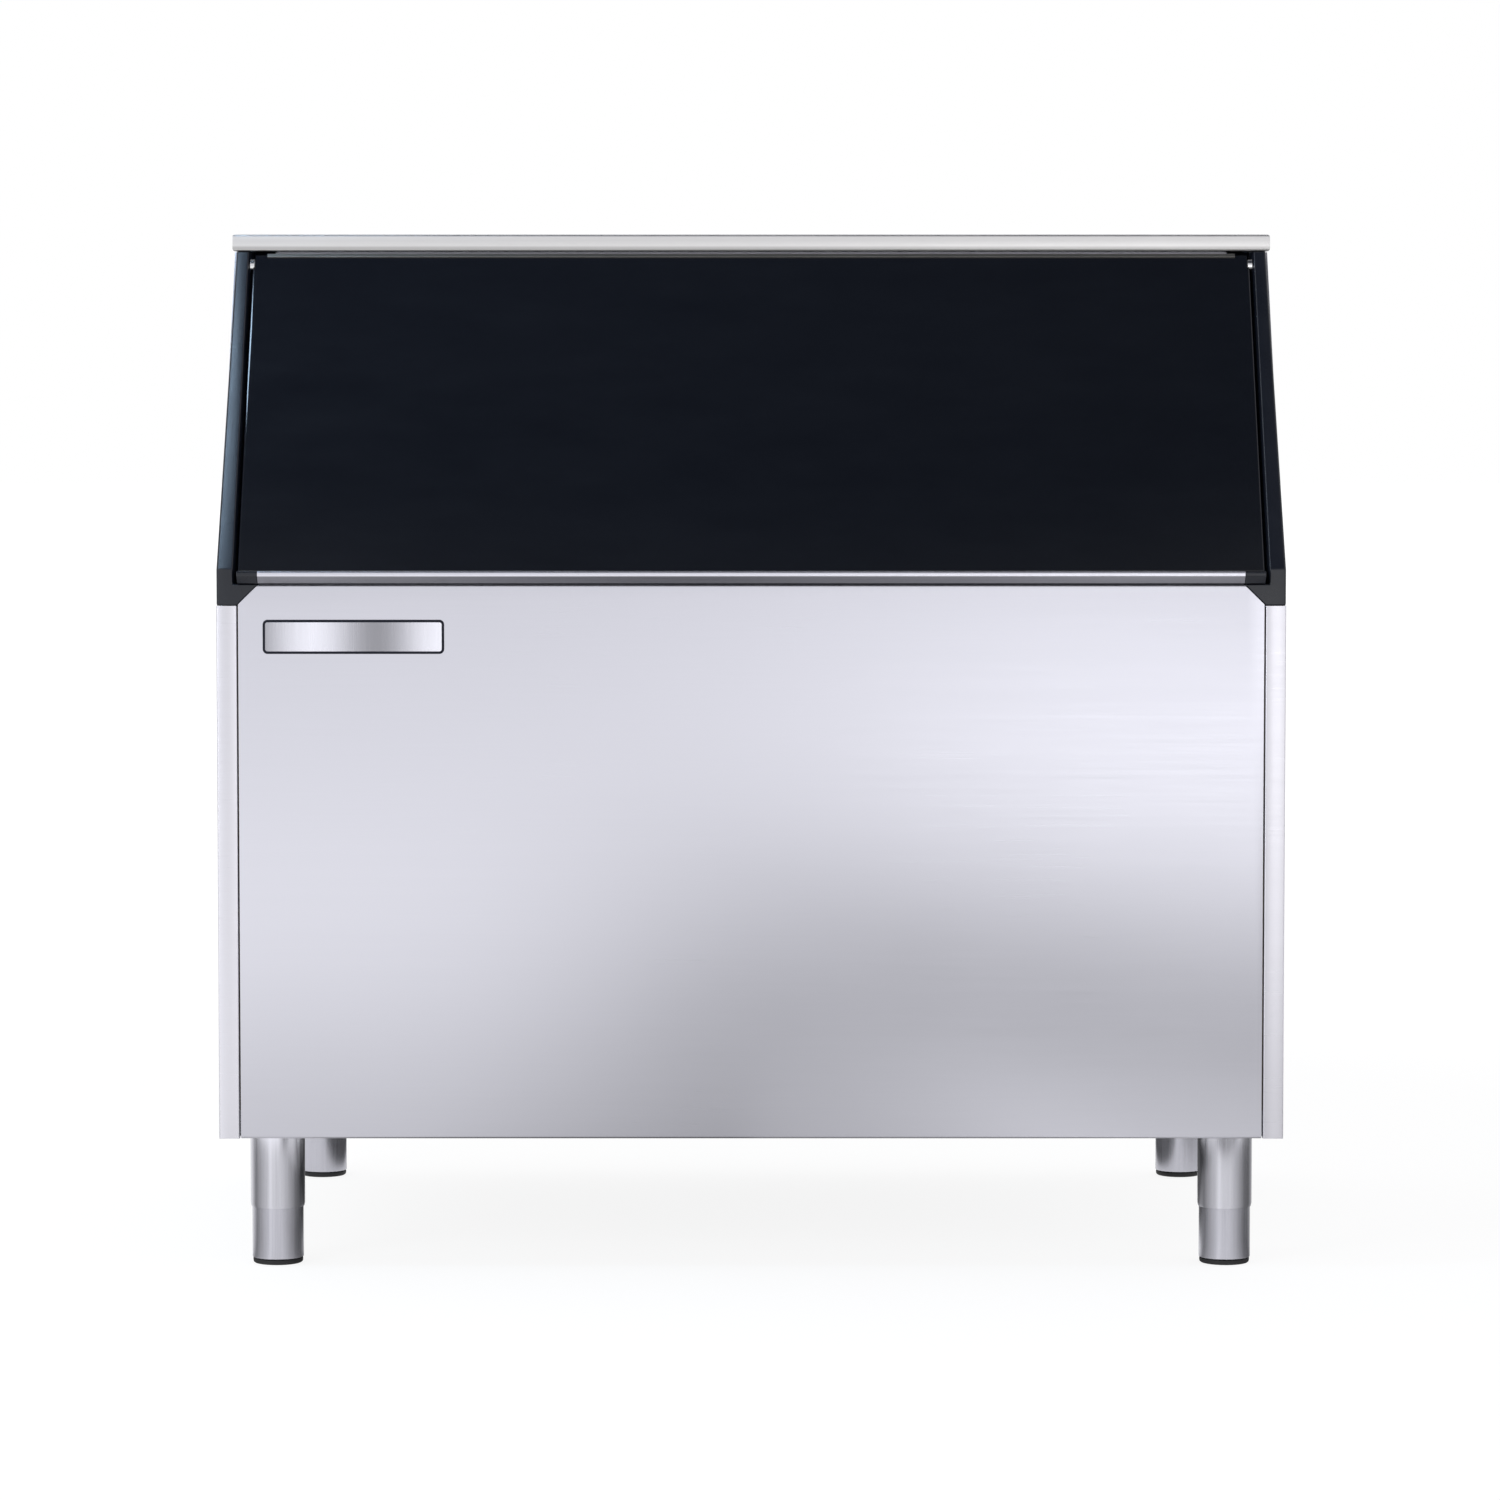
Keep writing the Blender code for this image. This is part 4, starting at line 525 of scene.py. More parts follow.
def round_edges(piece, width, segments):
    """Adds the weld, the planar dissolve and a fine bevel to a piece."""
    piece.modifiers.new("weld", "NODES").node_group = weld
    flat = piece.modifiers.new("planes", "DECIMATE")
    flat.decimate_type = "DISSOLVE"
    flat.angle_limit = FLAT_BELOW
    if width:
        bevel = piece.modifiers.new("edges", "BEVEL")
        bevel.width = width
        bevel.segments = segments
        bevel.limit_method = "ANGLE"
        bevel.angle_limit = SMOOTH_BELOW
        bevel.use_clamp_overlap = False
        bevel.harden_normals = True


def dress(names, finish, width=0.0, segments=2):
    """Gives solids their finish and rounded edges."""
    for name in names:
        piece = nodes[name]
        piece.data.materials.clear()
        piece.data.materials.append(finish)
        round_edges(piece, width, segments)


print("rounds every edge sharper than", round(math.degrees(SMOOTH_BELOW)), "degrees")

# %% [markdown]
# ## Which finish goes where
# Front sheets are brushed across, side sheets from front to back, and tubes up and down, the way
# each blank would be cut from a brushed coil. Finishes could be dropped on the pieces one at a
# time, but a list by finish shows at a glance that none is left out. Sheet metal gets the finest
# edges and mouldings the widest.

# %% Finishes for every solid
HANDS = ("left", "right")
LEGS = ("front_left", "front_right", "rear_left", "rear_right")
SHEET_EDGE, ZINC_EDGE, TURNED_EDGE, TUBE_EDGE = 0.00025, 0.0002, 0.0002, 0.0003
DOOR_EDGE, FRAME_EDGE, BLOCK_EDGE = 0.0004, 0.0014, 0.0006
LINER_EDGE, NYLON_EDGE, RUBBER_EDGE = 0.0006, 0.0003, 0.0003
FRAME_STEPS = 3


def both(stem):
    """The left and the right node of a name."""
    return [f"{stem}_{hand}" for hand in HANDS]


def all_legs(stem):
    """The four nodes of a name, one for each leg."""
    return [f"{stem}_{leg}" for leg in LEGS]


dress(["front_panel", "header_channel"], front_steel, SHEET_EDGE)
dress(["handle_rail"], rail_steel, SHEET_EDGE)
dress(["door_top_strip"], strip_steel, SHEET_EDGE)
dress(["top_rim"], rim_steel, SHEET_EDGE)
dress(both("side_panel"), side_steel, SHEET_EDGE)
dress(["door_shell"], gloss_black, DOOR_EDGE)
dress(both("door_frame"), satin_black, FRAME_EDGE, FRAME_STEPS)
dress(both("handle_end"), satin_black, BLOCK_EDGE)
dress(both("hinge_pin") + ["drain_strainer"], turned_steel, TURNED_EDGE)
dress(["liner", "ice_deflector", "door_inner_skin"], white_plastic, LINER_EDGE)
dress(["back_panel", "base_pan", "sill_stiffener"] + all_legs("leg_plate"), zinc_sheet, ZINC_EDGE)
dress(["insulation", "door_core"], foam)
dress(["drain_fitting", "drain_nut"] + both("hinge_bush"), grey_nylon, NYLON_EDGE)
dress(["frame_seal", "drain_gasket"] + both("door_bumper") + all_legs("foot_pad"), rubber,
      RUBBER_EDGE)
dress(all_legs("leg_sleeve"), leg_steel, TUBE_EDGE)
dress(all_legs("leg_foot"), foot_steel, TUBE_EDGE)
print("dressed", sum(bool(piece.modifiers) for piece in nodes.values()), "solids")

# %% [markdown]
# ## Turning a profile
# Screws are turned parts, so they are made the way a lathe makes them: half an outline is spun
# round an axis. A stack of cylinders could stand for it, but it would have no dome and no rim.
# The outline is a list of radii and heights, and points on the axis merge into one.

# %% Lathe and new pieces
TURN_STEPS = 48


def finished_mesh(name, shaped):
    """Turns a bmesh into a mesh with outward faces, smooth except at its real edges."""
    bmesh.ops.recalc_face_normals(shaped, faces=shaped.faces)
    mesh = bpy.data.meshes.new(name)
    shaped.to_mesh(mesh)
    shaped.free()
    mesh.shade_smooth()
    mesh.set_sharp_from_angle(angle=SMOOTH_BELOW)
    return mesh


def turned_mesh(name, profile, steps=TURN_STEPS):
    """A closed mesh spun from a (radius, height) profile about Z."""
    lathe = bmesh.new()
    points = [lathe.verts.new((radius, 0, height)) for radius, height in profile]
    edges = [lathe.edges.new(pair) for pair in zip(points, points[1:] + points[:1])
             if pair[0].co.x or pair[1].co.x]
    bmesh.ops.spin(lathe, geom=points + edges, axis=(0, 0, 1), angle=math.tau, steps=steps,
                   use_merge=True)
    bmesh.ops.remove_doubles(lathe, verts=lathe.verts, dist=WELD_DISTANCE)
    return finished_mesh(name, lathe)


def new_piece(name, mesh, finish, place=None):
    """A new object with one finish, moved to its place by a matrix."""
    piece = bpy.data.objects.new(name, mesh)
    scene.collection.objects.link(piece)
    if not mesh.materials:
        mesh.materials.append(finish)
    if place is not None:
        piece.matrix_world = place
    return piece


print("a turned piece has", TURN_STEPS, "sides")

# %% [markdown]
# ## Cutting the cross
# A screw head is a low dome with a cross recess. The recess could be a dark picture on the dome,
# but light has to fall into it, so it is cut by a Boolean. The cutter is two crossed bars that
# taper towards the bottom, as the driver's tip does. Both helper objects are thrown away
# afterwards, and only the cut mesh stays.

# %% Boolean cut
def cut_mesh(name, target, tool_bodies):
    """Cuts bodies out of a mesh with a Boolean, and returns the resulting mesh."""
    holder = new_piece(f"{name}_blank", target, None)
    cutter_mesh = bpy.data.meshes.new(f"{name}_cutter")
    tool_bodies.to_mesh(cutter_mesh)
    tool_bodies.free()
    cutter = new_piece(f"{name}_cutter", cutter_mesh, None)
    boolean = holder.modifiers.new("cut", "BOOLEAN")
    boolean.object = cutter
    boolean.operation = "DIFFERENCE"
    boolean.use_self = True
    result = bpy.data.meshes.new_from_object(
        holder.evaluated_get(bpy.context.evaluated_depsgraph_get()))
    result.name = name
    bpy.data.objects.remove(holder)
    bpy.data.objects.remove(cutter)
    result.materials.clear()
    result.shade_smooth()
    result.set_sharp_from_angle(angle=SMOOTH_BELOW)
    return result


print("cutting helper ready")

# %% [markdown]
# ## A cross-head screw
# The back, the door frame and the handle rail are held by small dome-headed screws. The solids
# hold plain domes, which would do from a distance, but a screw is known by its cross. One recipe
# makes them all, and only the length of the shank differs.

# %% Cross-head screw
SCREW_HEAD_RADIUS, SCREW_HEAD_HEIGHT = 0.004, 0.0016
SCREW_RIM = 0.0004
SCREW_RADIUS = 0.002
CROSS_HALF, CROSS_WIDTH, CROSS_DEPTH = 0.0021, 0.0005, 0.0011
CROSS_TAPER = 0.35
HEAD_STEPS = 6


def screw_mesh(length):
    """One cross-head screw whose head bears on Z = 0, with its shank below."""
    dome = []
    for step in range(HEAD_STEPS + 1):
        turn = math.pi / 2 * step / HEAD_STEPS
        dome.append((SCREW_HEAD_RADIUS * math.sin(turn),
                     SCREW_RIM + (SCREW_HEAD_HEIGHT - SCREW_RIM) * math.cos(turn)))
    blank = turned_mesh("screw_blank", [
        *dome, (SCREW_HEAD_RADIUS, 0), (SCREW_RADIUS, 0), (SCREW_RADIUS, -length), (0, -length)])
    bars = bmesh.new()
    for turn in (0, math.pi / 2):
        made = bmesh.ops.create_cube(bars, size=1)["verts"]
        bmesh.ops.scale(bars, verts=made, vec=(2 * CROSS_HALF, CROSS_WIDTH, 2 * CROSS_DEPTH))
        for vert in made:
            if vert.co.z < 0:
                vert.co.x *= CROSS_TAPER
            vert.co.z += SCREW_HEAD_HEIGHT
        bmesh.ops.rotate(bars, verts=made, matrix=Matrix.Rotation(turn, 3, "Z"))
    return cut_mesh("cross_screw", blank, bars)


print("screw head", 2 * SCREW_HEAD_RADIUS * MM, "mm, cross", 2 * CROSS_HALF * MM, "mm across")

# %% [markdown]
# ## Where the screws go
# Each fine screw takes its place from the solid that it stands for. The places could be typed in
# again, but measured ones can't drift away from the solids. A solid is measured along the way its
# head faces: backwards on the back panel, out of the slope on the door frame, and down the slope
# under the handle rail. The slope itself is read from the largest facet of the door.

# %% Fit the screws
def largest_facing(node):
    """The outward direction of a solid's largest facet."""
    return max(nodes[node].data.polygons, key=lambda facet: facet.area).normal.copy()


def bearing_of(node, outwards, head):
    """Where a screw's head bears, with Z outwards, and how long its shank is."""
    aim = Vector(outwards).to_track_quat("Z", "Y").to_matrix()
    spots = [aim.transposed() @ vert.co for vert in nodes[node].data.vertices]
    low, high = (Vector(pick(spot[axis] for spot in spots) for axis in range(3))
                 for pick in (min, max))
    middle = (low + high) / 2
    place = Matrix.Translation(aim @ Vector((middle.x, middle.y, high.z - head))) @ aim.to_4x4()
    return place, high.z - low.z - head


def replace_node(piece, node, body):
    """Lets a fine piece stand for a solid: hides the solid and puts the piece on the same body."""
    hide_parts(node)
    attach(piece, body)


out_of_slope = largest_facing("door_shell")
up_slope = out_of_slope.cross(Vector((1, 0, 0)))
screw_groups = [
    ("back_screw", 4, "cabinet", (0, 1, 0)),
    ("frame_screw", 4, "cabinet", out_of_slope),
    ("handle_screw", 3, "door", -up_slope),
]
for stem, count, body, outwards in screw_groups:
    for number in range(1, count + 1):
        node = f"{stem}_{number}"
        place, length = bearing_of(node, outwards, SCREW_HEAD_HEIGHT)
        screw = new_piece(f"cross_{node}", screw_mesh(length), turned_steel, place)
        replace_node(screw, node, body)
print("door leans back", round(math.degrees(math.asin(out_of_slope.z)), 2), "degrees")

# %% [markdown]
# ## Thumbscrews
# The ice deflector inside comes out for cleaning, so it hangs on two screws that fingers can
# turn. Their nylon heads are knurled: the rim goes in and out, one step at a time. The knurl could
# be cut tooth by tooth. It is quicker to turn a smooth body first and to draw in every other
# column of its outer points.

# %% Knurled thumbscrew
THUMB_EDGE = 0.0012
THUMB_DISH = 0.0020
THUMB_DISH_SHARE = 0.62
KNURL_DEPTH = 0.00055
KNURL_STEPS = 72


def thumbscrew_mesh(head_radius, head_height, shank_radius, shank):
    """A knurled head with a dished top, on a plain shank."""
    dish = head_radius * THUMB_DISH_SHARE
    mesh = turned_mesh("thumbscrew", [
        (0, head_height - THUMB_DISH), (dish, head_height - THUMB_DISH),
        (dish + THUMB_EDGE, head_height), (head_radius - THUMB_EDGE, head_height),
        (head_radius, head_height - THUMB_EDGE), (head_radius, THUMB_EDGE),
        (head_radius - THUMB_EDGE, 0), (shank_radius, 0), (shank_radius, -shank), (0, -shank),
    ], KNURL_STEPS)
    for vert in mesh.vertices:
        reach = vert.co.xy.length
        column = round(math.atan2(vert.co.y, vert.co.x) / math.tau * KNURL_STEPS)
        if reach > head_radius - THUMB_EDGE / 2 and column % 2:
            vert.co.xy *= (reach - KNURL_DEPTH) / reach
    mesh.set_sharp_from_angle(angle=SMOOTH_BELOW)
    return mesh


print("knurl of", KNURL_STEPS // 2, "ribs,", KNURL_DEPTH * MM, "mm deep")

# %% [markdown]
# ## Where the thumbscrews go
# The two thumbscrews take their place and their size from their solids too. The size could be
# typed in, but a measured one follows the solid if that is changed. The head is the widest part
# of the solid, and the shank is what lies at its far end.

# %% Fit the thumbscrews
THUMB_FACES = (0, 1, 0)


def head_size(node, outwards):
    """A screw solid's head radius, shank radius and head height."""
    place, _ = bearing_of(node, outwards, 0)
    spots = [place.inverted() @ vert.co for vert in nodes[node].data.vertices]
    low = min(spot.z for spot in spots)
    head_radius = max(spot.xy.length for spot in spots)
    shank_radius = max(spot.xy.length for spot in spots if spot.z < low + WELD_DISTANCE)
    head_low = min(spot.z for spot in spots if spot.xy.length > head_radius - WELD_DISTANCE)
    return head_radius, shank_radius, -head_low


for number in (1, 2):
    node = f"deflector_screw_{number}"
    radius, shank_radius, head_height = head_size(node, THUMB_FACES)
    place, length = bearing_of(node, THUMB_FACES, head_height)
    thumb = new_piece(f"knurled_{node}", thumbscrew_mesh(radius, head_height, shank_radius, length),
                      grey_nylon, place)
    replace_node(thumb, node, "cabinet")
print("thumbscrew heads", round(2 * radius * MM, 1), "mm across and",
      round(head_height * MM, 1), "mm high")

# %% [markdown]
# ## The name plate
# A small blank plate sits near the front sheet's upper left corner: a rounded rectangle with a
# bevelled edge and a dark border round its face. A box with a bevel modifier would be close, but
# its border would need cutting in. Here the plate is drawn as rings of points, one rounded
# rectangle inside another, and faces are laid between each ring and the next.

# %% Plate rings
PLATE_LEFT, PLATE_RIGHT = -0.557, -0.350
PLATE_LOW, PLATE_HIGH = 0.7085, 0.7475
PLATE_CORNER, PLATE_LEAST_CORNER = 0.0055, 0.0005
CORNER_STEPS = 8


def plate_ring(inset, depth):
    """Points round a rounded rectangle, drawn in by an inset, at a depth along Y."""
    radius = max(PLATE_CORNER - inset, PLATE_LEAST_CORNER)
    left, right = PLATE_LEFT + inset + radius, PLATE_RIGHT - inset - radius
    low, high = PLATE_LOW + inset + radius, PLATE_HIGH - inset - radius
    points = []
    for number, (x, z) in enumerate(((right, high), (left, high), (left, low), (right, low))):
        for step in range(CORNER_STEPS + 1):
            turn = math.pi / 2 * (number + step / CORNER_STEPS)
            points.append((x + radius * math.cos(turn), depth, z + radius * math.sin(turn)))
    return points


def ringed_mesh(name, rings):
    """A closed mesh laid over a stack of rings, with both ends filled."""
    shaped = bmesh.new()
    rows = [[shaped.verts.new(point) for point in ring] for ring in rings]
    for row, after in zip(rows, rows[1:]):
        for index in range(len(row)):
            follow = (index + 1) % len(row)
            shaped.faces.new((row[index], row[follow], after[follow], after[index]))
    shaped.faces.new(rows[0])
    shaped.faces.new(rows[-1])
    return finished_mesh(name, shaped)


print("a ring has", len(plate_ring(0, 0)), "points")

# %% [markdown]
# ## Plate finishes
# The border is printed ink: nearly black, a little blue, with hardly any shine. The face is thin
# brushed steel with a painted sheen: soft light and dark bands painted into its colour, which stand
# in for the reflections across it. Lamps could give the bands, but then they would slide when the
# plate is seen from elsewhere. A cosine along the plate's length makes it dark at the left end,
# then light, dark, and light again at the right end.

# %% Ink and foil
BAND_START, BAND_WIDTH = 0.055, 0.149
SHEEN_DARK, SHEEN_LIGHT = 0.45, 1.22
INK_DARK, INK_LIGHT = (0.008, 0.009, 0.016), (0.013, 0.014, 0.024)
INK_SPECKLE, INK_ROUGH = 400, (0.42, 0.55)


def painted_sheen_bands(tree):
    """Painted sheen: soft light and dark bands across the plate's colour, in place of its
    reflections.
    """
    across = add_node(tree, "ShaderNodeSeparateXYZ", {0: place_on(tree)}).outputs["X"]
    start = PLATE_LEFT + BAND_START
    turn = spread(tree, across, 0, math.tau, start, start + BAND_WIDTH, clamp=False)
    return spread(tree, math_node(tree, "COSINE", turn), SHEEN_DARK, SHEEN_LIGHT, -1, 1)


ink, tree, shader = new_finish("label_ink", Specular_IOR_Level=0.15)
speckle = noise(tree, place_on(tree), scale=INK_SPECKLE, detail=3)
tree.links.new(blend_colours(tree, spread(tree, speckle, 0, 1), INK_DARK, INK_LIGHT),
               shader.inputs["Base Color"])
tree.links.new(spread(tree, speckle, *INK_ROUGH), shader.inputs["Roughness"])
# The plate's face carries a painted sheen: light and dark bands in its colour.
plate_steel = brushed_steel("steel_name_plate", "Z", roughness=0.24, stretch=0.7,
                            shade=painted_sheen_bands)
print("plate finishes", ink.name, plate_steel.name)

# %% [markdown]
# ## Building the plate
# The border is one closed piece that starts on the front sheet, and the face is another that lies
# a little lower inside it. One mesh with two finishes would look the same, but two pieces are
# easier to change. Both ride on the cabinet.

# %% Name plate
PLATE_THICK = 0.0010
PLATE_BEVEL = 0.0004
BORDER = 0.0028
BORDER_STEP = 0.0002

panel_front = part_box("front_panel")[0].y
plate_front = panel_front - PLATE_THICK
border_front = plate_front + BORDER_STEP
border_mesh = ringed_mesh("plate_border", [
    plate_ring(0, panel_front),
    plate_ring(0, border_front + PLATE_BEVEL),
    plate_ring(PLATE_BEVEL / 2, border_front + PLATE_BEVEL / 4),
    plate_ring(PLATE_BEVEL, border_front),
    plate_ring(BORDER, border_front),
])
plate_mesh = ringed_mesh("plate_face", [
    plate_ring(BORDER, border_front + BORDER_STEP),
    plate_ring(BORDER, plate_front + PLATE_BEVEL / 2),
    plate_ring(BORDER + PLATE_BEVEL / 2, plate_front),
])
plate_border = new_piece("name_plate_border", border_mesh, ink)
plate_face = new_piece("name_plate_face", plate_mesh, plate_steel)
for piece, slot in ((plate_border, "black_satin_plastic"), (plate_face, "brushed_stainless")):
    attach(piece, "cabinet")
print("plate", round(PLATE_RIGHT - PLATE_LEFT, 3), "m wide, front at y", round(plate_front, 4))

# %% [markdown]
# ## Camera
# The picture was taken from just under the height of the rim, from far away with a long lens, so
# upright edges stay nearly upright. The camera could be dragged until the view looks right, but
# its distance follows from two widths: the slope's top is 24 cm further away than its foot, and
# looks that much narrower.

# %% Camera
CAMERA_PLACE = (-0.0014, -7.071, 1.051)
CAMERA_PITCH = math.radians(-3.888)
LENS, SENSOR_WIDTH = 140.25, 36
FAR_CLIP = 100

camera = bpy.data.objects.new("camera", bpy.data.cameras.new("camera"))
scene.collection.objects.link(camera)
camera.data.sensor_width = SENSOR_WIDTH
camera.data.lens = LENS
camera.data.clip_end = FAR_CLIP
camera.location = CAMERA_PLACE
camera.rotation_euler = (math.pi / 2 + CAMERA_PITCH, 0, 0)
scene.camera = camera
scene.view_settings.view_transform = "Standard"
print("camera", CAMERA_PLACE, "lens", LENS, "mm")

# %% [markdown]
# ## Floor
# The bin stands on white paper that runs into the background. A curved backdrop could be modelled,
# but a flat sheet so wide that its edge is never seen looks the same from every side. It is part
# of the studio and not of the bin.

# %% Floor sheet
FLOOR_HALF = 40.0

floor_mesh = bpy.data.meshes.new("floor")
floor_mesh.from_pydata([(x * FLOOR_HALF, y * FLOOR_HALF, 0) for x, y in
                        ((-1, -1), (1, -1), (1, 1), (-1, 1))], [], [(0, 1, 2, 3)])
floor = bpy.data.objects.new("floor", floor_mesh)
scene.collection.objects.link(floor)
print("floor", FLOOR_HALF * 2, "m square")

# %% [markdown]
# ## The light that steel mirrors
# Steel shows the floor in front of it, and a photographer decides what it shows with white and
# dark cards laid beside the bin. Cards could be modelled, but they would stand in the picture.
# Here the floor carries a plan of light and dark that only mirrored rays see, written as values
# that depend on the place on the floor. It starts with that place: how far across, how far back,
# and how far from the middle of the bin. In the cells that follow, a pair of numbers says where
# along such a value a change starts and where it ends.

# %% Places on the floor
paper = bpy.data.materials.new("floor_paper")
paper.use_nodes = True
paper_tree = paper.node_tree
paper_tree.nodes.clear()


def length_of(tree, vector):
    """The length of a vector."""
    return add_node(tree, "ShaderNodeVectorMath", {0: vector}, operation="LENGTH").outputs["Value"]


spot = paper_tree.nodes.new("ShaderNodeNewGeometry").outputs["Position"]
across, back, _ = add_node(paper_tree, "ShaderNodeSeparateXYZ", {0: spot}).outputs
reach = length_of(paper_tree, spot)
print("floor values", across.name, back.name, reach.name)

# %% [markdown]
# ## Light round the legs
# A polished tube squeezes everything round it into a narrow picture, so its stripes come from the
# directions round the leg. Each front leg gets the same wheel of light and dark, in degrees from
# straight in front, with plus to the viewer's right. Separate cards would need a careful layout
# for each leg; a colour ramp round the leg is one list of round numbers.

# %% Wheel of light
LEG_ACROSS, LEG_BACK = 0.548, -0.354
WHEEL_TOP = 1.20
LIGHT_WHEEL = (
    (-180, 0.85), (-140, 1.0), (-100, 0.25), (-60, 0.6), (-40, 0.75), (-27, 1.1), (-15, 0.9),
    (20, 0.85), (50, 0.55), (85, 0.2), (115, 0.15), (180, 0.85))

leg_side = math_node(paper_tree, "MULTIPLY", math_node(paper_tree, "SIGN", across), LEG_ACROSS)
turn = math_node(paper_tree, "ARCTAN2", math_node(paper_tree, "SUBTRACT", across, leg_side),
                 math_node(paper_tree, "SUBTRACT", LEG_BACK, back))
wheel = add_node(paper_tree, "ShaderNodeValToRGB", {
    "Fac": spread(paper_tree, turn, 0, 1, -math.pi, math.pi)})
stops = wheel.color_ramp.elements
while len(stops) < len(LIGHT_WHEEL):
    stops.new(0.5)
for stop, (degrees, light) in zip(stops, LIGHT_WHEEL):
    stop.position = (degrees + 180) / 360
    stop.color = (*[light / WHEEL_TOP] * 3, 1)
wheel_light = math_node(paper_tree, "MULTIPLY", wheel.outputs["Color"], WHEEL_TOP)
print("wheel of", len(stops), "stops")

# %% [markdown]
# ## Under the bin and further out
# The floor under the bin lies in its shade, so steel that looks that way sees it dark. Away from
# the legs the wheel gives way to open paper, bright close by and a little weaker further out. One
# light all over would leave the front sheet without its soft fall from top to bottom. The edge of
# the wheel is an oval, wider to the sides, so that the legs' outer sides keep their stripes.

# %% Near and open floor
UNDER_SIDES, UNDER_BACK, UNDER_LIGHT = (0.46, 0.38), (-0.40, -0.02), 0.12
OVAL_SQUEEZE, OVAL_EDGE = 0.7, (1.15, 1.6)
OPEN_REACH, OPEN_NEAR, OPEN_FAR = (2.0, 6.0), 1.42, 0.96

beneath = math_node(
    paper_tree, "MULTIPLY",
    ease(paper_tree, math_node(paper_tree, "ABSOLUTE", across), *UNDER_SIDES),
    ease(paper_tree, back, *UNDER_BACK, 0, 1 - UNDER_LIGHT))
near_light = math_node(paper_tree, "MULTIPLY", wheel_light,
                       math_node(paper_tree, "SUBTRACT", 1.0, beneath))
squeezed = add_node(paper_tree, "ShaderNodeVectorMath", {0: spot, 1: (OVAL_SQUEEZE, 1, 1)},
                    operation="MULTIPLY").outputs[0]
open_light = blend_values(
    paper_tree, ease(paper_tree, length_of(paper_tree, squeezed), *OVAL_EDGE), near_light,
    ease(paper_tree, reach, *OPEN_REACH, OPEN_NEAR, OPEN_FAR))
print("open floor from", OPEN_NEAR, "to", OPEN_FAR)

# %% [markdown]
# ## Half shade and glow
# The front sheet is darker low down on the right and lighter above. It is one flat sheet, so
# this has to come from what it mirrors: a half shade on the floor in front on the right, and a
# glow on the floor beyond it. Painting the sheet itself would be wrong from every other side.

# %% Shade and glow
SHADE_ACROSS, SHADE = (-0.45, 0.15), 0.72
SHADE_STARTS, SHADE_ENDS = (-0.95, -1.2), (-3.1, -1.7)
GLOW_ACROSS, GLOW = (-0.6, 0.3), 0.62
GLOW_BACK = (-2.2, -4.6)

shaded = math_node(
    paper_tree, "MULTIPLY", ease(paper_tree, across, *SHADE_ACROSS, 0, SHADE),
    math_node(paper_tree, "MULTIPLY", ease(paper_tree, back, *SHADE_STARTS),
              ease(paper_tree, back, *SHADE_ENDS)))
far_glow = math_node(paper_tree, "MULTIPLY", ease(paper_tree, across, *GLOW_ACROSS, 0, GLOW),
                     ease(paper_tree, back, *GLOW_BACK))
mirrored_light = math_node(paper_tree, "ADD", far_glow, math_node(
    paper_tree, "MULTIPLY", open_light, math_node(paper_tree, "SUBTRACT", 1.0, shaded)))
print("shade of", SHADE, "and glow of", GLOW)

# %% [markdown]
# ## The paper
# To the camera the paper is mostly plain white, with a share of lit surface near the bin, so that
# it still takes a pale shadow. Real studio paper is lit until it is white, but that much light
# would spill over the bin. A Light Path node tells the rays apart instead: what the camera sees
# turns to pure white further out, and what steel and gloss see is the plan of light.

# %% Paper material
NEAR_WHITE, WHITE_REACH = 0.78, (1.6, 6.0)
PAPER_GREY, PAPER_GLOW = 0.85, 1.12

path = paper_tree.nodes.new("ShaderNodeLightPath").outputs
seen = math_node(paper_tree, "MULTIPLY", path["Is Camera Ray"],
                 spread(paper_tree, reach, NEAR_WHITE, 1.0, *WHITE_REACH))
mirrored = math_node(paper_tree, "MAXIMUM", path["Is Glossy Ray"], path["Is Transmission Ray"])
lit = add_node(paper_tree, "ShaderNodeBsdfDiffuse", {"Color": (*[PAPER_GREY] * 3, 1)})
plain = add_node(paper_tree, "ShaderNodeEmission", {"Strength": PAPER_GLOW})
plan = add_node(paper_tree, "ShaderNodeEmission", {"Strength": mirrored_light})
to_camera = add_node(paper_tree, "ShaderNodeMixShader", {
    0: seen, 1: lit.outputs[0], 2: plain.outputs[0]})
to_all = add_node(paper_tree, "ShaderNodeMixShader", {
    0: mirrored, 1: to_camera.outputs[0], 2: plan.outputs[0]})
add_node(paper_tree, "ShaderNodeOutputMaterial", {"Surface": to_all.outputs[0]})
floor_mesh.materials.append(paper)
print("paper", paper.name, len(paper_tree.nodes), "nodes")

# %% [markdown]
# ## Studio
# A black gloss door shows whatever hangs above it, so the studio keeps a dark card high in front,
# just where the door looks, and stays pale everywhere else. A modelled card would also block
# light. The world does it with the direction of each ray alone: its angle to the card's middle,
# its height above the horizon, and how far it points to the side.

# %% World
CARD_HEIGHT = math.radians(67)
CARD_INNER, CARD_OUTER = math.cos(math.radians(15)), math.cos(math.radians(44))
CARD = (0.037, 0.042, 0.053)
HORIZON, SIDES, OVERHEAD = (1.00, 1.00, 1.02), (0.62, 0.62, 0.64), (0.88, 0.88, 0.90)
SIDE_TO_FRONT, WALL_CLIMB = (0.25, 0.9), (0.10, 0.70)

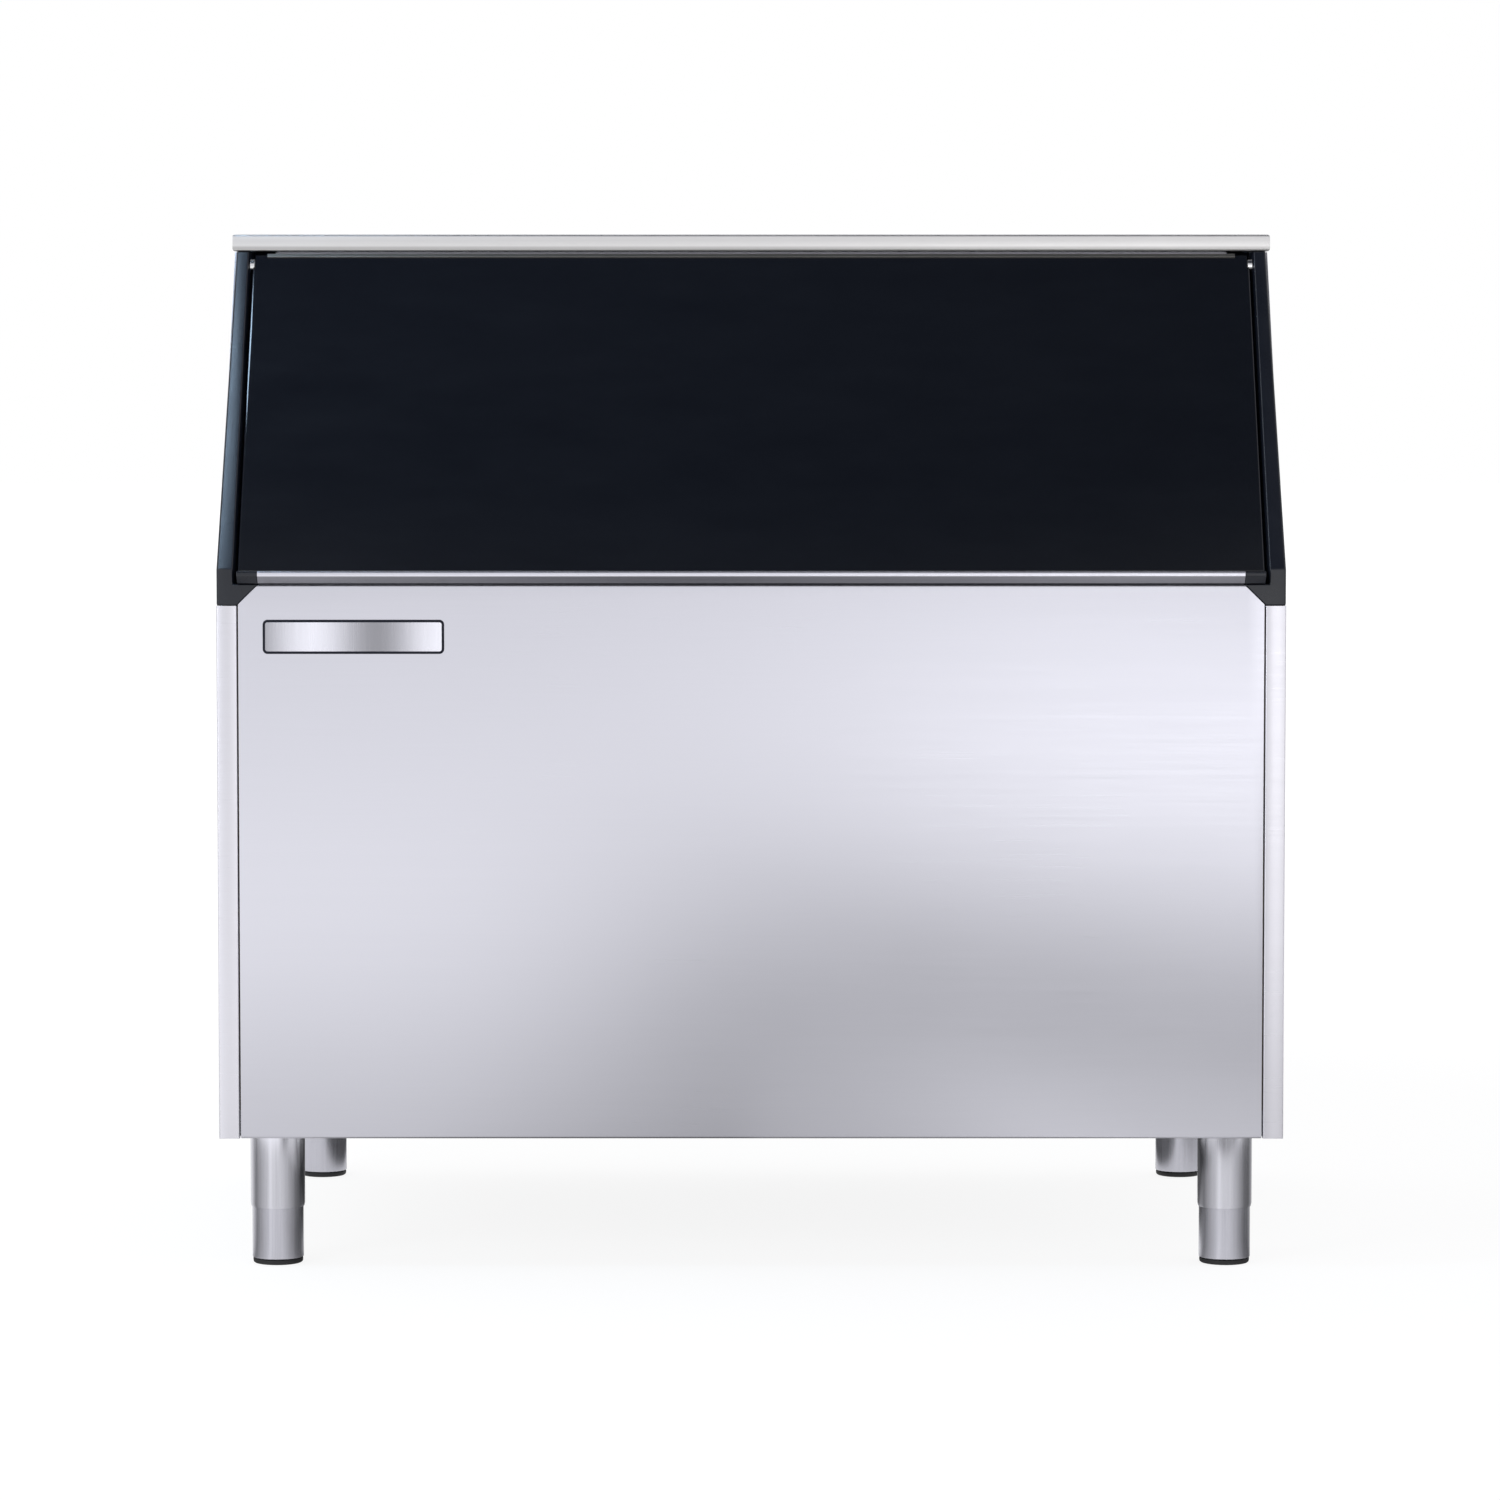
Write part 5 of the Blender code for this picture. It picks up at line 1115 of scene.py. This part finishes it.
world = bpy.data.worlds.new("studio")
scene.world = world
world.use_nodes = True
sky_tree = world.node_tree
sky_tree.nodes.clear()
ray = add_node(sky_tree, "ShaderNodeTexCoord").outputs["Generated"]
_, forward, upward = add_node(sky_tree, "ShaderNodeSeparateXYZ", {0: ray}).outputs
facing = spread(sky_tree, math_node(sky_tree, "ABSOLUTE", forward), 0, 1, *SIDE_TO_FRONT)
walls = blend_colours(sky_tree, facing, SIDES, HORIZON)
room = blend_colours(sky_tree, spread(sky_tree, upward, 0, 1, *WALL_CLIMB), walls, OVERHEAD)
card_middle = (0, -math.cos(CARD_HEIGHT), math.sin(CARD_HEIGHT))
towards = add_node(sky_tree, "ShaderNodeVectorMath", {0: ray, 1: card_middle},
                   operation="DOT_PRODUCT").outputs["Value"]
lit_room = blend_colours(sky_tree, ease(sky_tree, towards, CARD_OUTER, CARD_INNER), room, CARD)
path = sky_tree.nodes.new("ShaderNodeLightPath").outputs
sky = blend_colours(sky_tree, path["Is Camera Ray"], lit_room, (1, 1, 1))
background = add_node(sky_tree, "ShaderNodeBackground", {"Color": sky, "Strength": 1.0})
add_node(sky_tree, "ShaderNodeOutputWorld", {"Surface": background.outputs[0]})
print("dark card", round(math.degrees(CARD_HEIGHT)), "degrees up in front")

# %% [markdown]
# ## Lamps
# Soft boxes do the modelling. A low, weak one in front on the right gives the front sheet a
# gentle glow on that side, a stronger and cooler one on the left lights the whole bin, and a
# small blue one close above the left edge is there for the satin frame. Point lamps would be
# simpler, but they draw hard sparks in steel, where a wide lamp leaves a soft edge.

# %% Lamps
def soft_box(name, place, target, size, power, colour=(1, 1, 1)):
    """A rectangular area lamp aimed at a point."""
    lamp = bpy.data.lights.new(name, "AREA")
    lamp.shape = "RECTANGLE"
    lamp.size, lamp.size_y = size
    lamp.energy = power
    lamp.color = colour
    held = bpy.data.objects.new(name, lamp)
    scene.collection.objects.link(held)
    held.location = place
    held.rotation_euler = (Vector(target) - Vector(place)).to_track_quat("-Z", "Y").to_euler()


soft_box("soft_box_right", place=(1.13, -4.6, 0.45), target=(0.3, -0.4, 0.5), size=(1.55, 0.7),
         power=3.4)
soft_box("soft_box_left", place=(-2.6, -3.4, 1.6), target=(-0.3, -0.4, 0.6), size=(1.4, 1.4),
         power=30, colour=(0.90, 0.95, 1.0))
soft_box("frame_light", place=(-1.10, -0.85, 2.25), target=(-0.62, -0.30, 0.95),
         size=(0.35, 0.35), power=9, colour=(0.55, 0.76, 1.0))
